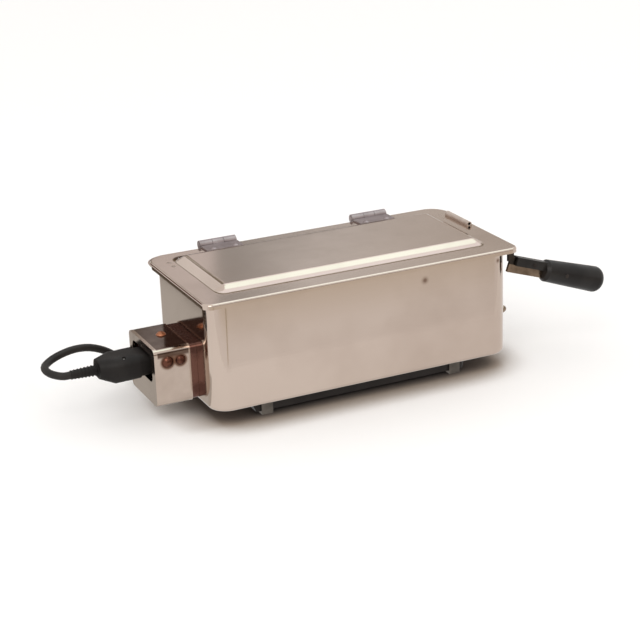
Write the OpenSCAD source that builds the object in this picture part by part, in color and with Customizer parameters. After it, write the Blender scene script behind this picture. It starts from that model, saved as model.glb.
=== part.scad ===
/* [Tank] */
// Length of the tank over its end walls
tank_l = 300; // [240:1:360]
// Depth of the tank over its front and rear walls
tank_w = 140; // [120:1:170]
// Height of the tank from its bottom to the top of its rim
tank_h = 103.8; // [100:0.1:120]
// Sheet thickness of the tank
wall = 1; // [0.8:0.1:1.5]
// Radius of the tank's upright corners, outside
corner_r = 18; // [16:1:24]
// Radius of the tank's bottom edge, outside
bottom_r = 4; // [2:0.5:10]
// Radius of the bead rolled outwards round the rim
rim_bead_r = 1.3; // [1:0.1:1.5]

/* [Base] */
// Height of the tank's bottom above the table
base_h = 14; // [12:1:20]
// How far the plinth stands in from each end of the tank
plinth_end_in = 40; // [20:1:60]
// How far the plinth stands in from the tank's front and rear
plinth_side_in = 13; // [12:1:20]
// How far each plinth wall slopes in on its way down
plinth_slope = 4; // [1:0.5:6]
// Height of the feet below the plinth
foot_h = 3; // [2:0.5:5]
// Sheet thickness of the plinth
plinth_t = 1.2; // [0.8:0.1:2]

/* [Lid] */
// Sheet thickness of the lid
lid_t = 1.2; // [0.8:0.1:1.5]
// Overhang of the lid beyond the tank at the front and both ends
lid_over = 6.5; // [6:0.5:9]
// Overhang of the lid beyond the tank at the rear
lid_rear_over = 8.5; // [6:0.5:9]
// Depth of the turned down lip, with the sheet
lip_h = 5; // [3:0.5:6]
// Width of the flat flange beside each end of the raised panel
panel_side = 21.5; // [20:0.5:40]
// Rise of the raised panel above the flange
panel_h = 5.2; // [4.5:0.1:8]

/* [Hinges] */
// Distance of the hinge axis behind the tank's rear wall
hinge_back = 14; // [13:0.5:16]
// Height of the hinge axis above the rim
hinge_up = 1.9; // [1.5:0.1:3]
// Outer radius of the hinge knuckles
knuckle_r = 4.5; // [4:0.1:4.7]
// Radius of the hinge pins
hinge_pin_r = 2; // [1.5:0.1:2.5]
// Length of each hinge along its pin
hinge_l = 37; // [28:1:40]
// Distance of each hinge from the middle of the tank
hinge_x = 80; // [60:1:100]
// Opening angle of the lid, in degrees
lid_angle = 95; // [90:1:95]

/* [Tray and lift] */
// Space between the tray and each end wall of the tank
tray_end_gap = 13; // [13:1:24]
// Space between the tray and the tank's long walls
tray_side_gap = 11; // [9:1:20]
// Height of the tray's walls
tray_h = 18; // [14:1:20]
// Height of the tray's bottom above the table, lid closed
tray_z = 39; // [38.5:0.5:41]
// Radius of the tray's drain holes
tray_hole_r = 2.5; // [1.5:0.5:3]
// Distance between neighbouring drain holes
tray_pitch = 15; // [12:1:20]
// Distance of the lifting pins from the hinge axis
lift_r = 40; // [38:0.5:41]
// Radius of the lifting pins
lift_pin_r = 2.5; // [2:0.5:3]
// Sheet thickness of the hangers
hanger_t = 1.5; // [1:0.1:2]
// Radius of the guide rods
rod_r = 2.5; // [2:0.5:3]

/* [Heating element] */
// Radius of the element's sheath
sheath_r = 4; // [3:0.5:4.5]
// Height of the element's middle above the table
element_z = 33; // [32:0.5:34]
// Distance of each element leg from the middle where it enters
leg_y = 14; // [13:0.5:16]
// Distance of each long run of the element from the middle
run_y = 36; // [34:1:44]

/* [Terminal box] */
// Width of the terminal box cover
box_w = 66; // [64:1:76]
// Height of the terminal box cover
box_h = 54; // [52:1:58]
// Reach of the terminal box from the tank's end wall
box_reach = 40.5; // [40:0.5:46]
// Height of the terminal box's bottom above the table
box_z = 16; // [15:1:18]
// Height of the inlet pins above the table
inlet_z = 50; // [49:0.5:52]
// Distance between the two inlet pins
pin_pitch = 19; // [18:0.5:20]
// Radius of the inlet pins
inlet_pin_r = 3; // [2.5:0.1:3.2]

/* [Handle] */
// Downward tilt of the handle, in degrees
handle_tilt = 18.6; // [12:0.2:22]
// Length of the black grip
grip_l = 67.5; // [60:0.5:90]
// Radius of the grip at its thin end
grip_r1 = 10.5; // [9:0.5:11.5]
// Radius of the grip at its far end
grip_r2 = 12.4; // [12:0.2:14]
// Thickness of the steel arm
arm_t = 3; // [2:0.5:4]
// Height of the steel arm
arm_h = 15; // [13:1:16]

/* [Mains lead] */
// Diameter of the mains lead
cord_d = 7; // [6:0.5:7]

/* [Hidden] */
$fn = 64;

// Clearances and joints
run_gap = 0.05;
seat_gap = 0.2;
part_gap = 0.3;
rivet_r = 1.6;

// Planes of the tank
x_wall = tank_l / 2;
y_wall = tank_w / 2;
rim_z = base_h + tank_h;
floor_z = base_h + wall;
rim_out = 2.4;

// Plinth, with rims folded inwards at its top and bottom
plinth_l = tank_l - 2 * plinth_end_in;
plinth_w = tank_w - 2 * plinth_side_in;
plinth_r = 8;
plinth_rim = 20;

// Planes of the lid
lid_z = rim_z + seat_gap;
lid_top = lid_z + lid_t;
lid_x = x_wall + lid_over;
lid_front = -y_wall - lid_over;
lid_rear = y_wall + lid_rear_over;
lid_front_r = 9;
lid_rear_r = 20;
lip_end = y_wall - 14;
panel_l = 2 * (lid_x - panel_side);
panel_front = -y_wall + 20;
panel_rear = y_wall - 12;
panel_corner = 8;
panel_round = 4;
panel_side_run = 10.5;
panel_front_run = 7;
panel_rear_run = 10;

// Hinge axis and knuckles
hinge_y = y_wall + hinge_back;
hinge_z = rim_z + hinge_up;
knuckle_mid = 12;
leaf_t = 1.5;
leaf_drop = 12;
leaf_h = 22;
pin_head_r = 2.8;
pin_head_t = 0.9;

// Tray, between the tank's walls
tray_l = tank_l - 2 * (wall + tray_end_gap);
tray_w = tank_w - 2 * (wall + tray_side_gap);

// Lift: the pins start half the opening angle below the axis
lift_start = lid_angle / 2;
lift_y = hinge_y - lift_r * cos(lift_start);
lift_z = hinge_z - lift_r * sin(lift_start);
lift_rise = 2 * lift_r * sin(lift_start);
slot_front = hinge_y - lift_r;
slot_r = lift_pin_r + 1.7;
hanger_x = tray_l / 2;
arm_x = hanger_x - 3;
lift_arm_t = 2;
tab_t = 1.2;
boss_r = 6;

// Guide rods
rod_x = x_wall - wall - 5.5;
sleeve_r = rod_r + 2;
sleeve_z = 34;
bracket_t = 1.5;
bracket_z = rim_z - 5.3;
low_bracket_z = floor_z + 11;
collar_r = rod_r + 1.1;
sleeve_top = bracket_z - lift_rise - 0.5;

// Terminal box
box_x = -x_wall - box_reach;
box_mid_z = box_z + box_h / 2;
neck_t = 1;
back_t = 1.2;
neck_end = box_x + 5.5;
cover_start = -x_wall - 6.5;
opening_w = 50;
opening_h = 26;
carrier_front = -x_wall - 22;
carrier_t = 10;
carrier_rear = carrier_front + carrier_t;
carrier_w = 44;
box_top = box_z + box_h;
carrier_top = box_top - 8;
carrier_low = inlet_z - 12;
screw_z = box_top - 12.5;
top_screw_y = 4;
nut_af = 7;
cover_nut_t = 2.6;
carrier_screw_y = 18.5;
screw_xs = [-x_wall - 28, -x_wall - 16];
top_screw_x = (screw_xs[0] + screw_xs[1]) / 2 + 2;
cover_screw_r = 2;
bracket_wall_y = box_w / 2 - 2 * neck_t - seat_gap;

// Element
element_end = -x_wall - 8;
gland_r = 6.5;
gland_af = 14;
nut_t = 5;
bend_r = (run_y - leg_y) / 2;
bend_x = -x_wall + 32;
turn_x = x_wall - wall - 15 - run_y;
stud_r = 2;
link_t = 0.8;
link_nut_t = 2.8;

// Handle: the grip starts here, on the arm's middle line
grip_x = x_wall + 37;
grip_z = rim_z - 29.2;
arm_y = -y_wall + 3.5;
arm_start = -39;
tang_l = 40;
tang_h = 12;
neck_l = 33;
grip_round = 8;

// Connector, its nose inside the box
nose_front = carrier_front - 1;
nose_rear = box_x - 14.5;
nose_w = 32;
nose_h = 20;
grip_behind = 42.5;
grip_end = box_x - grip_behind;
flare_start = nose_rear + 8;
relief_l = 24;
relief_end = grip_end - relief_l;
relief_r1 = 5.4;
relief_r2 = cord_d / 2 + 0.8;

// The row's origin is under the middle of the object's box
reach_right = grip_x + (grip_l - grip_round) * cos(handle_tilt)
    + (grip_r2 - grip_round) * sin(handle_tilt) + grip_round;
origin_x = (box_x + reach_right) / 2;
origin_y = (hinge_y + knuckle_r + arm_y - grip_r2) / 2;

// Basic forms

module placed() {
    translate([-origin_x, -origin_y, 0]) children();
}

module along_x(x0, x1) {
    translate([x0, 0, 0]) rotate([90, 0, 90]) linear_extrude(x1 - x0) children();
}

module along_y(y0, y1) {
    translate([0, y1, 0]) rotate([90, 0, 0]) linear_extrude(y1 - y0) children();
}

module rod_x(x0, x1, y, z, r) {
    translate([x0, y, z]) rotate([0, 90, 0]) cylinder(h = x1 - x0, r = r);
}

module rod_y(y0, y1, x, z, r) {
    translate([x, y0, z]) rotate([-90, 0, 0]) cylinder(h = y1 - y0, r = r);
}

module hex_x(x0, x1, y, z, af) {
    translate([x0, y, z]) rotate([0, 90, 0]) cylinder(h = x1 - x0, d = af / cos(30), $fn = 6);
}

module hex_y(y0, y1, x, z, af) {
    translate([x, y0, z]) rotate([-90, 30, 0]) cylinder(h = y1 - y0, d = af / cos(30), $fn = 6);
}

// A low domed head on the XY plane
module dome(r, h) {
    ball = (r * r + h * h) / (2 * h);
    intersection() {
        translate([0, 0, h - ball]) sphere(r = ball);
        cylinder(h = h, r = r);
    }
}

// Rivet along Z: a domed head on the XY plane over a shank that ends in a small foot
module rivet(shank, head_r, rise = 1.2) {
    dome(head_r, rise);
    translate([0, 0, -shank]) cylinder(h = shank, r = rivet_r);
    translate([0, 0, -shank - 0.8]) cylinder(h = 0.8, r = rivet_r * 1.4);
}

module round_rect(l, w, r) {
    square([l - 2 * r, w], center = true);
    square([l, w - 2 * r], center = true);
    for (x = [-1, 1], y = [-1, 1]) translate([x * (l / 2 - r), y * (w / 2 - r)]) circle(r);
}

// Straight strip from a to b, t thick
module strip(a, b, t) {
    d = b - a;
    translate(a) rotate(atan2(d[1], d[0])) translate([0, -t / 2]) square([norm(d), t]);
}

// Profile of a drawn vessel: w wide, h high, lower corners rounded
module vessel_profile(w, h, rb) {
    translate([-w / 2, rb]) square([w, h - rb]);
    translate([rb - w / 2, 0]) square([w - 2 * rb, h]);
    for (x = [-1, 1]) translate([x * (w / 2 - rb), rb]) circle(rb);
}

// Solid drawn vessel with upright corners of radius r and a bottom edge of radius rb
module drawn_form(l, w, h, r, rb) {
    along_x(r - l / 2, l / 2 - r) vessel_profile(w, h, rb);
    along_y(r - w / 2, w / 2 - r) vessel_profile(l, h, rb);
    for (x = [-1, 1], y = [-1, 1]) translate([x * (l / 2 - r), y * (w / 2 - r), 0])
        rotate_extrude() intersection() {
            vessel_profile(2 * r, h, rb);
            square([r, h]);
        }
}

// Round bar bent into a ring that follows a rounded rectangle
module bead_ring(l, w, r, bar_r) {
    for (y = [-1, 1]) rod_x(r - l / 2, l / 2 - r, y * w / 2, 0, bar_r);
    for (x = [-1, 1]) rod_y(r - w / 2, w / 2 - r, x * l / 2, 0, bar_r);
    for (q = [0:3]) {
        sx = q == 0 || q == 3 ? 1 : -1;
        sy = q < 2 ? 1 : -1;
        translate([sx * (l / 2 - r), sy * (w / 2 - r), 0]) rotate(q * 90)
            rotate_extrude(angle = 90) translate([r, 0]) circle(bar_r);
    }
}

// Tank and base

module tank() {
    bead = rim_out - rim_bead_r;
    color("silver") placed() difference() {
        union() {
            translate([0, 0, base_h]) drawn_form(tank_l, tank_w, tank_h, corner_r, bottom_r);
            translate([0, 0, rim_z - rim_bead_r])
                bead_ring(tank_l + 2 * bead, tank_w + 2 * bead, corner_r + bead, rim_bead_r);
        }
        translate([0, 0, floor_z])
            drawn_form(tank_l - 2 * wall, tank_w - 2 * wall, tank_h + 1, corner_r - wall, bottom_r - wall);
        for (y = [-leg_y, leg_y])
            rod_x(-x_wall - 1, 1 - x_wall + wall, y, element_z, gland_r + run_gap);
        rod_x(x_wall - wall - 1, x_wall + 1, stud_y, stud_z, level_r + run_gap);
        for (side = [-1, 1], dx = [-leaf_rivet_dx, leaf_rivet_dx])
            rod_y(y_wall - wall - 1, y_wall + 1, side * hinge_x + dx, hinge_rivet_z, rivet_r + run_gap);
    }
}

// The level screw marks the lowest water level, clear of the tray's end
stud_y = -y_wall + 22;
stud_z = base_h + 36;
level_r = 2.2;
dome_nut_af = 7.4;

module level_screw() {
    color("silver") placed() {
        rod_x(x_wall - wall, x_wall + 6, stud_y, stud_z, level_r);
        translate([x_wall - wall, stud_y, stud_z]) rotate([0, -90, 0]) dome(3.8, 2.4);
    }
}

module dome_nut() {
    color("dimgray") placed() translate([x_wall, stud_y, stud_z]) rotate([0, 90, 0]) difference() {
        union() {
            cylinder(h = 4.5, d = dome_nut_af / cos(30), $fn = 6);
            translate([0, 0, 4.5]) cylinder(h = 0.8, r = dome_nut_af / 2 - 0.4);
            translate([0, 0, 5.3]) dome(dome_nut_af / 2 - 0.4, 3);
        }
        translate([0, 0, -1]) cylinder(h = 7.2, r = level_r + run_gap);
    }
}

// Plinth: a folded frame whose ends slope in towards the table
module plinth_form(inset) {
    x = plinth_l / 2 - inset;
    intersection() {
        along_y(inset - plinth_w / 2, plinth_w / 2 - inset)
            polygon([[-x, base_h], [x, base_h], [x - plinth_slope, foot_h], [plinth_slope - x, foot_h]]);
        linear_extrude(base_h) round_rect(plinth_l - 2 * inset, plinth_w - 2 * inset, plinth_r - inset);
    }
}

module base_plinth() {
    color("#2b2826") placed() difference() {
        plinth_form(0);
        intersection() {
            plinth_form(plinth_t);
            translate([-x_wall, -y_wall, foot_h + plinth_t])
                cube([tank_l, tank_w, base_h - foot_h - 2 * plinth_t]);
        }
        linear_extrude(base_h + 1) round_rect(plinth_l - 2 * plinth_rim - 2 * plinth_slope,
            plinth_w - 2 * plinth_rim, plinth_r);
    }
}

// Feet: bent lugs on the plinth's long sides
module feet() {
    foot_w = 11;
    foot_x = plinth_l / 2 - plinth_r - foot_w / 2 - 0.5;
    pad = plinth_rim - 6;
    color("#8b827c") placed() for (x = [-foot_x, foot_x], side = [0, 1]) mirror([0, side, 0]) {
        translate([x - foot_w / 2, plinth_w / 2, 0]) cube([foot_w, 2, base_h - 3]);
        translate([x - foot_w / 2, plinth_w / 2 - pad, 0]) cube([foot_w, pad + 1, foot_h]);
    }
}

// Lid

module lid_outline(inset) {
    rf = lid_front_r - inset;
    rr = lid_rear_r - inset;
    x = lid_x - inset;
    yf = lid_front + inset;
    yr = lid_rear - inset;
    translate([-x, yf + rf]) square([2 * x, yr - rr - yf - rf]);
    translate([rf - x, yf]) square([2 * (x - rf), rf + 1]);
    translate([rr - x, yr - rr - 1]) square([2 * (x - rr), rr + 1]);
    for (side = [-1, 1]) {
        translate([side * (x - rf), yf + rf]) circle(rf);
        translate([side * (x - rr), yr - rr]) circle(rr);
    }
}

// The raised panel: a flat top on four rounded corners over a wider base; inset gives its inside
module panel_form(inset) {
    base_x = panel_l / 2 - panel_corner;
    top_x = panel_l / 2 - panel_side_run;
    hull() {
        for (side = [-1, 1]) {
            for (y = [panel_front + panel_corner, panel_rear - panel_corner])
                translate([side * base_x, y, lid_top - lid_t])
                    cylinder(h = 0.2, r = panel_corner - inset, $fn = 48);
            for (y = [panel_front + panel_front_run, panel_rear - panel_rear_run])
                translate([side * top_x, y, lid_top + panel_h - panel_round])
                    sphere(r = panel_round - inset, $fn = 32);
        }
    }
}

module lid() {
    color("silver") placed() difference() {
        union() {
            translate([0, 0, lid_z]) linear_extrude(lid_t) lid_outline(0);
            difference() {
                translate([0, 0, lid_top - lip_h]) linear_extrude(lip_h) lid_outline(0);
                translate([0, 0, lid_top - lip_h - 1]) linear_extrude(lip_h) lid_outline(lid_t);
                translate([-lid_x - 1, lip_end, 0]) cube([2 * lid_x + 2, tank_w, lid_z]);
            }
            intersection() {
                panel_form(0);
                translate([-lid_x, lid_front, lid_z]) cube([2 * lid_x, tank_w, lid_t + panel_h + 1]);
            }
        }
        panel_form(lid_t);
        translate([0, 0, lid_z - 1]) linear_extrude(1.1)
            translate([0, (panel_front + panel_rear) / 2])
                round_rect(panel_l - 2 * lid_t, panel_rear - panel_front - 2 * lid_t, 8);
        for (side = [-1, 1], y = arm_rivet_ys) translate([side * arm_rivet_x, y, lid_z - 1])
            cylinder(h = lid_t + 2, r = rivet_r + run_gap);
        for (side = [-1, 1], dx = [-leaf_rivet_dx, leaf_rivet_dx])
            translate([side * hinge_x + dx, lid_rivet_y, lid_z - 1])
                cylinder(h = lid_t + 2, r = rivet_r + run_gap);
    }
}

arm_rivet_x = x_wall - 9;
arm_rivet_ys = [slot_front - 5, slot_front + 7];
leaf_rivet_dx = 11;
lid_rivet_y = y_wall - wall - 3.2;

// Rolled lug on the lid's right edge, open at both ends
lug_r = 2.7;
lug_t = 0.8;
lug_z = lid_top + 1.5;
lug_x = x_wall - 0.5;
lug_l = 43;
lug_front = y_wall - 22 - lug_l;

module lid_lug() {
    color("silver") placed() difference() {
        union() {
            rod_y(lug_front, lug_front + lug_l, lug_x, lug_z, lug_r);
            translate([lug_x - lug_r, lug_front, lid_top]) cube([2 * lug_r, lug_l, lug_z - lid_top]);
        }
        rod_y(lug_front - 1, lug_front + lug_l + 1, lug_x, lug_z + 0.4, lug_r - 0.4 - lug_t);
        translate([lug_x - 10, lug_front - 1, lid_top - 10]) cube([20, lug_l + 2, 10]);
    }
}

// Hinges

module hinge_leaf_tank() {
    foot = [y_wall + leaf_t / 2, rim_z - leaf_drop - 0.5];
    axis = [hinge_y, hinge_z];
    reach = axis - foot;
    len = norm(reach);
    near = foot + reach * ((len - knuckle_r - 1.6) / len);
    side_l = (hinge_l - knuckle_mid) / 2;
    difference() {
        union() {
            along_x(-hinge_l / 2, hinge_l / 2) {
                translate([y_wall, rim_z - leaf_drop - leaf_h]) square([leaf_t, leaf_h]);
                translate(foot) circle(leaf_t / 2);
                strip(foot, near, leaf_t);
            }
            for (x = [-hinge_l / 2, hinge_l / 2 - side_l]) along_x(x, x + side_l) {
                strip(foot, axis, leaf_t);
                translate(axis) circle(knuckle_r);
            }
        }
        rod_x(-hinge_l, hinge_l, hinge_y, hinge_z, hinge_pin_r + run_gap);
        for (x = [-leaf_rivet_dx, leaf_rivet_dx])
            rod_y(y_wall - 2, y_wall + 4, x, hinge_rivet_z, rivet_r + run_gap);
    }
}

hinge_rivet_z = rim_z - leaf_drop - leaf_h / 2 - 1;

module hinge_leaf_tank_left() {
    color("silver") placed() translate([-hinge_x, 0, 0]) hinge_leaf_tank();
}

module hinge_leaf_tank_right() {
    color("silver") placed() translate([hinge_x, 0, 0]) hinge_leaf_tank();
}

module hinge_leaf_lid() {
    mid_l = knuckle_mid - 2 * part_gap;
    leaf_front = y_wall - 8;
    leaf_back = hinge_y - knuckle_r - 1;
    difference() {
        union() {
            translate([-hinge_l / 2, leaf_front, lid_top]) cube([hinge_l, leaf_back - leaf_front, leaf_t]);
            along_x(-mid_l / 2, mid_l / 2) {
                translate([leaf_back - 1, lid_top]) square([hinge_y - leaf_back + 1, leaf_t]);
                translate([hinge_y, hinge_z]) circle(knuckle_r);
            }
        }
        rod_x(-hinge_l, hinge_l, hinge_y, hinge_z, hinge_pin_r + run_gap);
        for (x = [-leaf_rivet_dx, leaf_rivet_dx]) translate([x, lid_rivet_y, lid_top - 1])
            cylinder(h = leaf_t + 2, r = rivet_r + run_gap);
    }
}

module hinge_leaf_lid_left() {
    color("silver") placed() translate([-hinge_x, 0, 0]) hinge_leaf_lid();
}

module hinge_leaf_lid_right() {
    color("silver") placed() translate([hinge_x, 0, 0]) hinge_leaf_lid();
}

module hinge_pins() {
    half = hinge_l / 2 + 0.1;
    color("gray") placed() for (x = [-hinge_x, hinge_x]) {
        rod_x(x - half, x + half, hinge_y, hinge_z, hinge_pin_r);
        translate([x - half, hinge_y, hinge_z]) rotate([0, -90, 0]) dome(pin_head_r, pin_head_t);
        translate([x + half, hinge_y, hinge_z]) rotate([0, 90, 0]) dome(pin_head_r, pin_head_t);
    }
}

module hinge_rivets() {
    color("silver") placed() for (side = [-1, 1], dx = [-leaf_rivet_dx, leaf_rivet_dx])
        translate([side * hinge_x + dx, y_wall + leaf_t, hinge_rivet_z]) rotate([-90, 0, 0])
            rivet(leaf_t + wall, 3);
}

module lid_rivets() {
    color("silver") placed() for (side = [-1, 1], dx = [-leaf_rivet_dx, leaf_rivet_dx])
        translate([side * hinge_x + dx, lid_rivet_y, lid_top + leaf_t]) rivet(leaf_t + lid_t, 3);
}

// Lift: arms under the lid carry pins that run in the hangers' slots

module lift_arm() {
    front = slot_front - 10;
    difference() {
        union() {
            along_x(arm_x, arm_x + lift_arm_t) {
                translate([lift_y, lift_z]) circle(boss_r);
                polygon([[front, lid_z], [lift_y + boss_r, lid_z], [lift_y + boss_r, lift_z],
                    [lift_y - boss_r * 0.7, lift_z - boss_r * 0.7], [front, lid_z - 6]]);
            }
            translate([arm_x, front, lid_z - tab_t]) cube([x_wall - 4 - arm_x, 22, tab_t]);
        }
        rod_x(arm_x - 1, arm_x + lift_arm_t + 1, lift_y, lift_z, lift_pin_r + run_gap);
        for (y = arm_rivet_ys) translate([arm_rivet_x, y, lid_z - 5])
            cylinder(h = 6, r = rivet_r + run_gap);
    }
}

module lift_arm_left() {
    color("silver") placed() mirror([1, 0, 0]) lift_arm();
}

module lift_arm_right() {
    color("silver") placed() lift_arm();
}

module lift_pins() {
    color("gray") placed() for (side = [0, 1]) mirror([side, 0, 0]) {
        rod_x(arm_x - 0.1, hanger_x + hanger_t + 0.5, lift_y, lift_z, lift_pin_r);
        rod_x(arm_x - 1.3, arm_x, lift_y, lift_z, lift_pin_r + 1.3);
        rod_x(hanger_x + hanger_t + part_gap, hanger_x + hanger_t + 1.5, lift_y, lift_z, slot_r + 0.8);
    }
}

module arm_rivets() {
    color("silver") placed() for (side = [-1, 1], y = arm_rivet_ys)
        translate([side * arm_rivet_x, y, lid_top]) rivet(lid_t + tab_t, 2.4, 0.15);
}

// Tray: a drawn pan with a field of drain holes

module tray() {
    t = 1;
    rows = floor((tray_w - 30) / tray_pitch / 2);
    cols = floor((tray_l - 30) / tray_pitch / 2);
    color("lightgray") placed() difference() {
        translate([0, 0, tray_z]) drawn_form(tray_l, tray_w, tray_h, 12, 4);
        translate([0, 0, tray_z + t]) drawn_form(tray_l - 2 * t, tray_w - 2 * t, tray_h, 12 - t, 4 - t);
        for (i = [-cols:cols], j = [-rows:rows]) translate([i * tray_pitch, j * tray_pitch, tray_z - 1])
            cylinder(h = t + 2, r = tray_hole_r, $fn = 24);
        for (x = [-hanger_x, hanger_x], y = tray_rivet_ys)
            rod_x(x - 2, x + 2, y, tray_rivet_z, rivet_r + run_gap);
    }
}

tray_rivet_ys = [-16, 16];
tray_rivet_z = tray_z + tray_h - 6;

module tray_hanger() {
    ear_front = slot_front - 9;
    ear_rear = lift_y + slot_r + 4.5;
    ear_top = lift_z + 11;
    base_z = tray_z + 2;
    base_top = tray_z + tray_h;
    difference() {
        union() {
            along_x(hanger_x, hanger_x + hanger_t) difference() {
                union() {
                    translate([-36, base_z]) square([ear_rear + 36, base_top - base_z]);
                    polygon([[12, base_top - 1], [ear_rear, base_top - 1],
                        [ear_rear, ear_top - 3], [ear_rear - 3, ear_top],
                        [ear_front + 3, ear_top], [ear_front, ear_top - 3],
                        [ear_front, base_top + 14]]);
                }
                for (y = [slot_front, lift_y]) translate([y, lift_z]) circle(slot_r);
                translate([slot_front, lift_z - slot_r]) square([lift_y - slot_front, 2 * slot_r]);
            }
            translate([rod_x, 0, sleeve_z]) cylinder(h = sleeve_top - sleeve_z, r = sleeve_r);
            translate([hanger_x, -3, base_z]) cube([rod_x - hanger_x, 6, sleeve_top - base_z]);
        }
        translate([rod_x, 0, 0]) cylinder(h = rim_z, r = rod_r + run_gap);
        for (y = tray_rivet_ys)
            rod_x(hanger_x - 1, hanger_x + hanger_t + 1, y, tray_rivet_z, rivet_r + run_gap);
    }
}

module tray_hanger_left() {
    color("silver") placed() mirror([1, 0, 0]) tray_hanger();
}

module tray_hanger_right() {
    color("silver") placed() tray_hanger();
}

module tray_rivets() {
    color("silver") placed() for (side = [0, 1], y = tray_rivet_ys) mirror([side, 0, 0])
        translate([hanger_x + hanger_t, y, tray_rivet_z]) rotate([0, 90, 0]) rivet(hanger_t + 1, 2.6);
}

// Each rod hangs between two brackets, and its collar stops the sleeve
module guide_rods() {
    low = low_bracket_z - 1.5;
    collar = low_bracket_z + bracket_t;
    color("gray") placed() for (x = [-rod_x, rod_x]) translate([x, 0, 0]) {
        translate([0, 0, low]) cylinder(h = bracket_z + bracket_t + 0.4 - low, r = rod_r);
        translate([0, 0, collar]) cylinder(h = sleeve_z - seat_gap - collar, r = collar_r);
    }
}

module rod_bracket(z, up) {
    half = 6;
    inner = x_wall - wall;
    difference() {
        union() {
            translate([rod_x - 5, -half, z]) cube([inner - rod_x + 5, 2 * half, bracket_t]);
            translate([inner - bracket_t, -half, z]) cube([bracket_t, 2 * half, up]);
        }
        translate([rod_x, 0, z - 1]) cylinder(h = bracket_t + 2, r = rod_r + run_gap);
    }
}

module rod_brackets() {
    color("silver") placed() for (side = [0, 1]) mirror([side, 0, 0]) {
        rod_bracket(bracket_z, rim_z - 1 - bracket_z);
        rod_bracket(low_bracket_z, 6);
    }
}

// Heating element: a sheathed loop above the tank's floor

module leg_half() {
    rod_x(element_end, bend_x, leg_y, 0, sheath_r);
    translate([bend_x, leg_y + bend_r, 0]) rotate(-90) rotate_extrude(angle = 90)
        translate([bend_r, 0]) circle(sheath_r);
    translate([bend_x + 2 * bend_r, run_y - bend_r, 0]) rotate(90) rotate_extrude(angle = 90)
        translate([bend_r, 0]) circle(sheath_r);
    rod_x(bend_x + 2 * bend_r, turn_x, run_y, 0, sheath_r);
}

module heating_element() {
    color("#8d8480") placed() translate([0, 0, element_z]) {
        for (side = [0, 1]) mirror([0, side, 0]) leg_half();
        translate([turn_x, 0, 0]) rotate(-90) rotate_extrude(angle = 180)
            translate([run_y, 0]) circle(sheath_r);
    }
}

module element_glands() {
    inner = -x_wall + wall;
    color("goldenrod") placed() for (y = [-leg_y, leg_y]) difference() {
        union() {
            hex_x(inner, inner + nut_t, y, element_z, gland_af);
            rod_x(element_end + 0.5, inner, y, element_z, gland_r);
        }
        rod_x(element_end - 1, inner + nut_t + 1, y, element_z, sheath_r + run_gap);
    }
}

module gland_nuts() {
    color("goldenrod") placed() for (y = [-leg_y, leg_y]) difference() {
        hex_x(-x_wall - back_t - nut_t, -x_wall - back_t, y, element_z, gland_af + 1);
        rod_x(-x_wall - 20, 1 - x_wall, y, element_z, gland_r + run_gap);
    }
}

module element_studs() {
    color("gray") placed() for (y = [-leg_y, leg_y]) {
        rod_x(carrier_rear + link_t, element_end, y, element_z, stud_r + 1.3);
        rod_x(carrier_rear - link_nut_t - 0.6, carrier_rear + link_t + 0.1, y, element_z, stud_r);
    }
}

// Copper links lie against the carrier's rear face, from each stud to its pin
module element_links() {
    color("#b87333") placed() for (side = [0, 1]) mirror([0, side, 0])
        along_x(carrier_rear, carrier_rear + link_t) difference() {
            union() {
                strip([leg_y, element_z], [pin_pitch / 2, inlet_z], 6);
                translate([leg_y, element_z]) circle(4.2);
                translate([pin_pitch / 2, inlet_z]) circle(4.2);
            }
            translate([leg_y, element_z]) circle(stud_r + run_gap);
            translate([pin_pitch / 2, inlet_z]) circle(stud_r + run_gap);
        }
}

module link_nuts() {
    color("goldenrod") placed() for (side = [-1, 1]) {
        difference() {
            translate([carrier_rear + link_t, 0, 0])
                hex_x(0, link_nut_t, side * pin_pitch / 2, inlet_z, nut_af);
            rod_x(carrier_rear, carrier_rear + 5, side * pin_pitch / 2, inlet_z, stud_r + run_gap);
        }
        difference() {
            hex_x(carrier_rear - link_nut_t, carrier_rear, side * leg_y, element_z, nut_af);
            rod_x(carrier_rear - 5, carrier_rear + 1, side * leg_y, element_z, stud_r + run_gap);
        }
    }
}

// Terminal box: a neck screwed to the end wall and a cover that slides over it

module box_section(inset) {
    translate([0, box_mid_z]) round_rect(box_w - 2 * inset, box_h - 2 * inset, 5 - inset);
}

module cover_screw_holes(r) {
    for (x = screw_xs) rod_y(-box_w, box_w, x, screw_z, r);
}

module top_screw_hole(r) {
    translate([top_screw_x, top_screw_y, box_top - 12]) cylinder(h = 20, r = r);
}

module terminal_box_neck() {
    outer = neck_t + seat_gap;
    color("silver") placed() difference() {
        along_x(neck_end, -x_wall) box_section(outer);
        along_x(neck_end - 1, -x_wall - back_t) box_section(outer + neck_t);
        for (y = [-leg_y, leg_y]) rod_x(-x_wall - 5, 1 - x_wall, y, element_z, gland_r + run_gap);
        cover_screw_holes(cover_screw_r + run_gap);
        top_screw_hole(cover_screw_r + run_gap);
    }
}

module terminal_box_cover() {
    color("silver") placed() difference() {
        along_x(box_x, cover_start) box_section(0);
        along_x(box_x + neck_t, cover_start + 1) box_section(neck_t);
        along_x(box_x - 1, box_x + 2) translate([0, inlet_z]) round_rect(opening_w, opening_h, 6);
        cover_screw_holes(cover_screw_r + run_gap);
        top_screw_hole(cover_screw_r + run_gap);
    }
}

// One cover screw along Z: a full round head above a shank of length l
module cover_screw(head_r, l) {
    dome(head_r, head_r * 0.62);
    translate([0, 0, -l]) cylinder(h = l, r = cover_screw_r);
}

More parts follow.
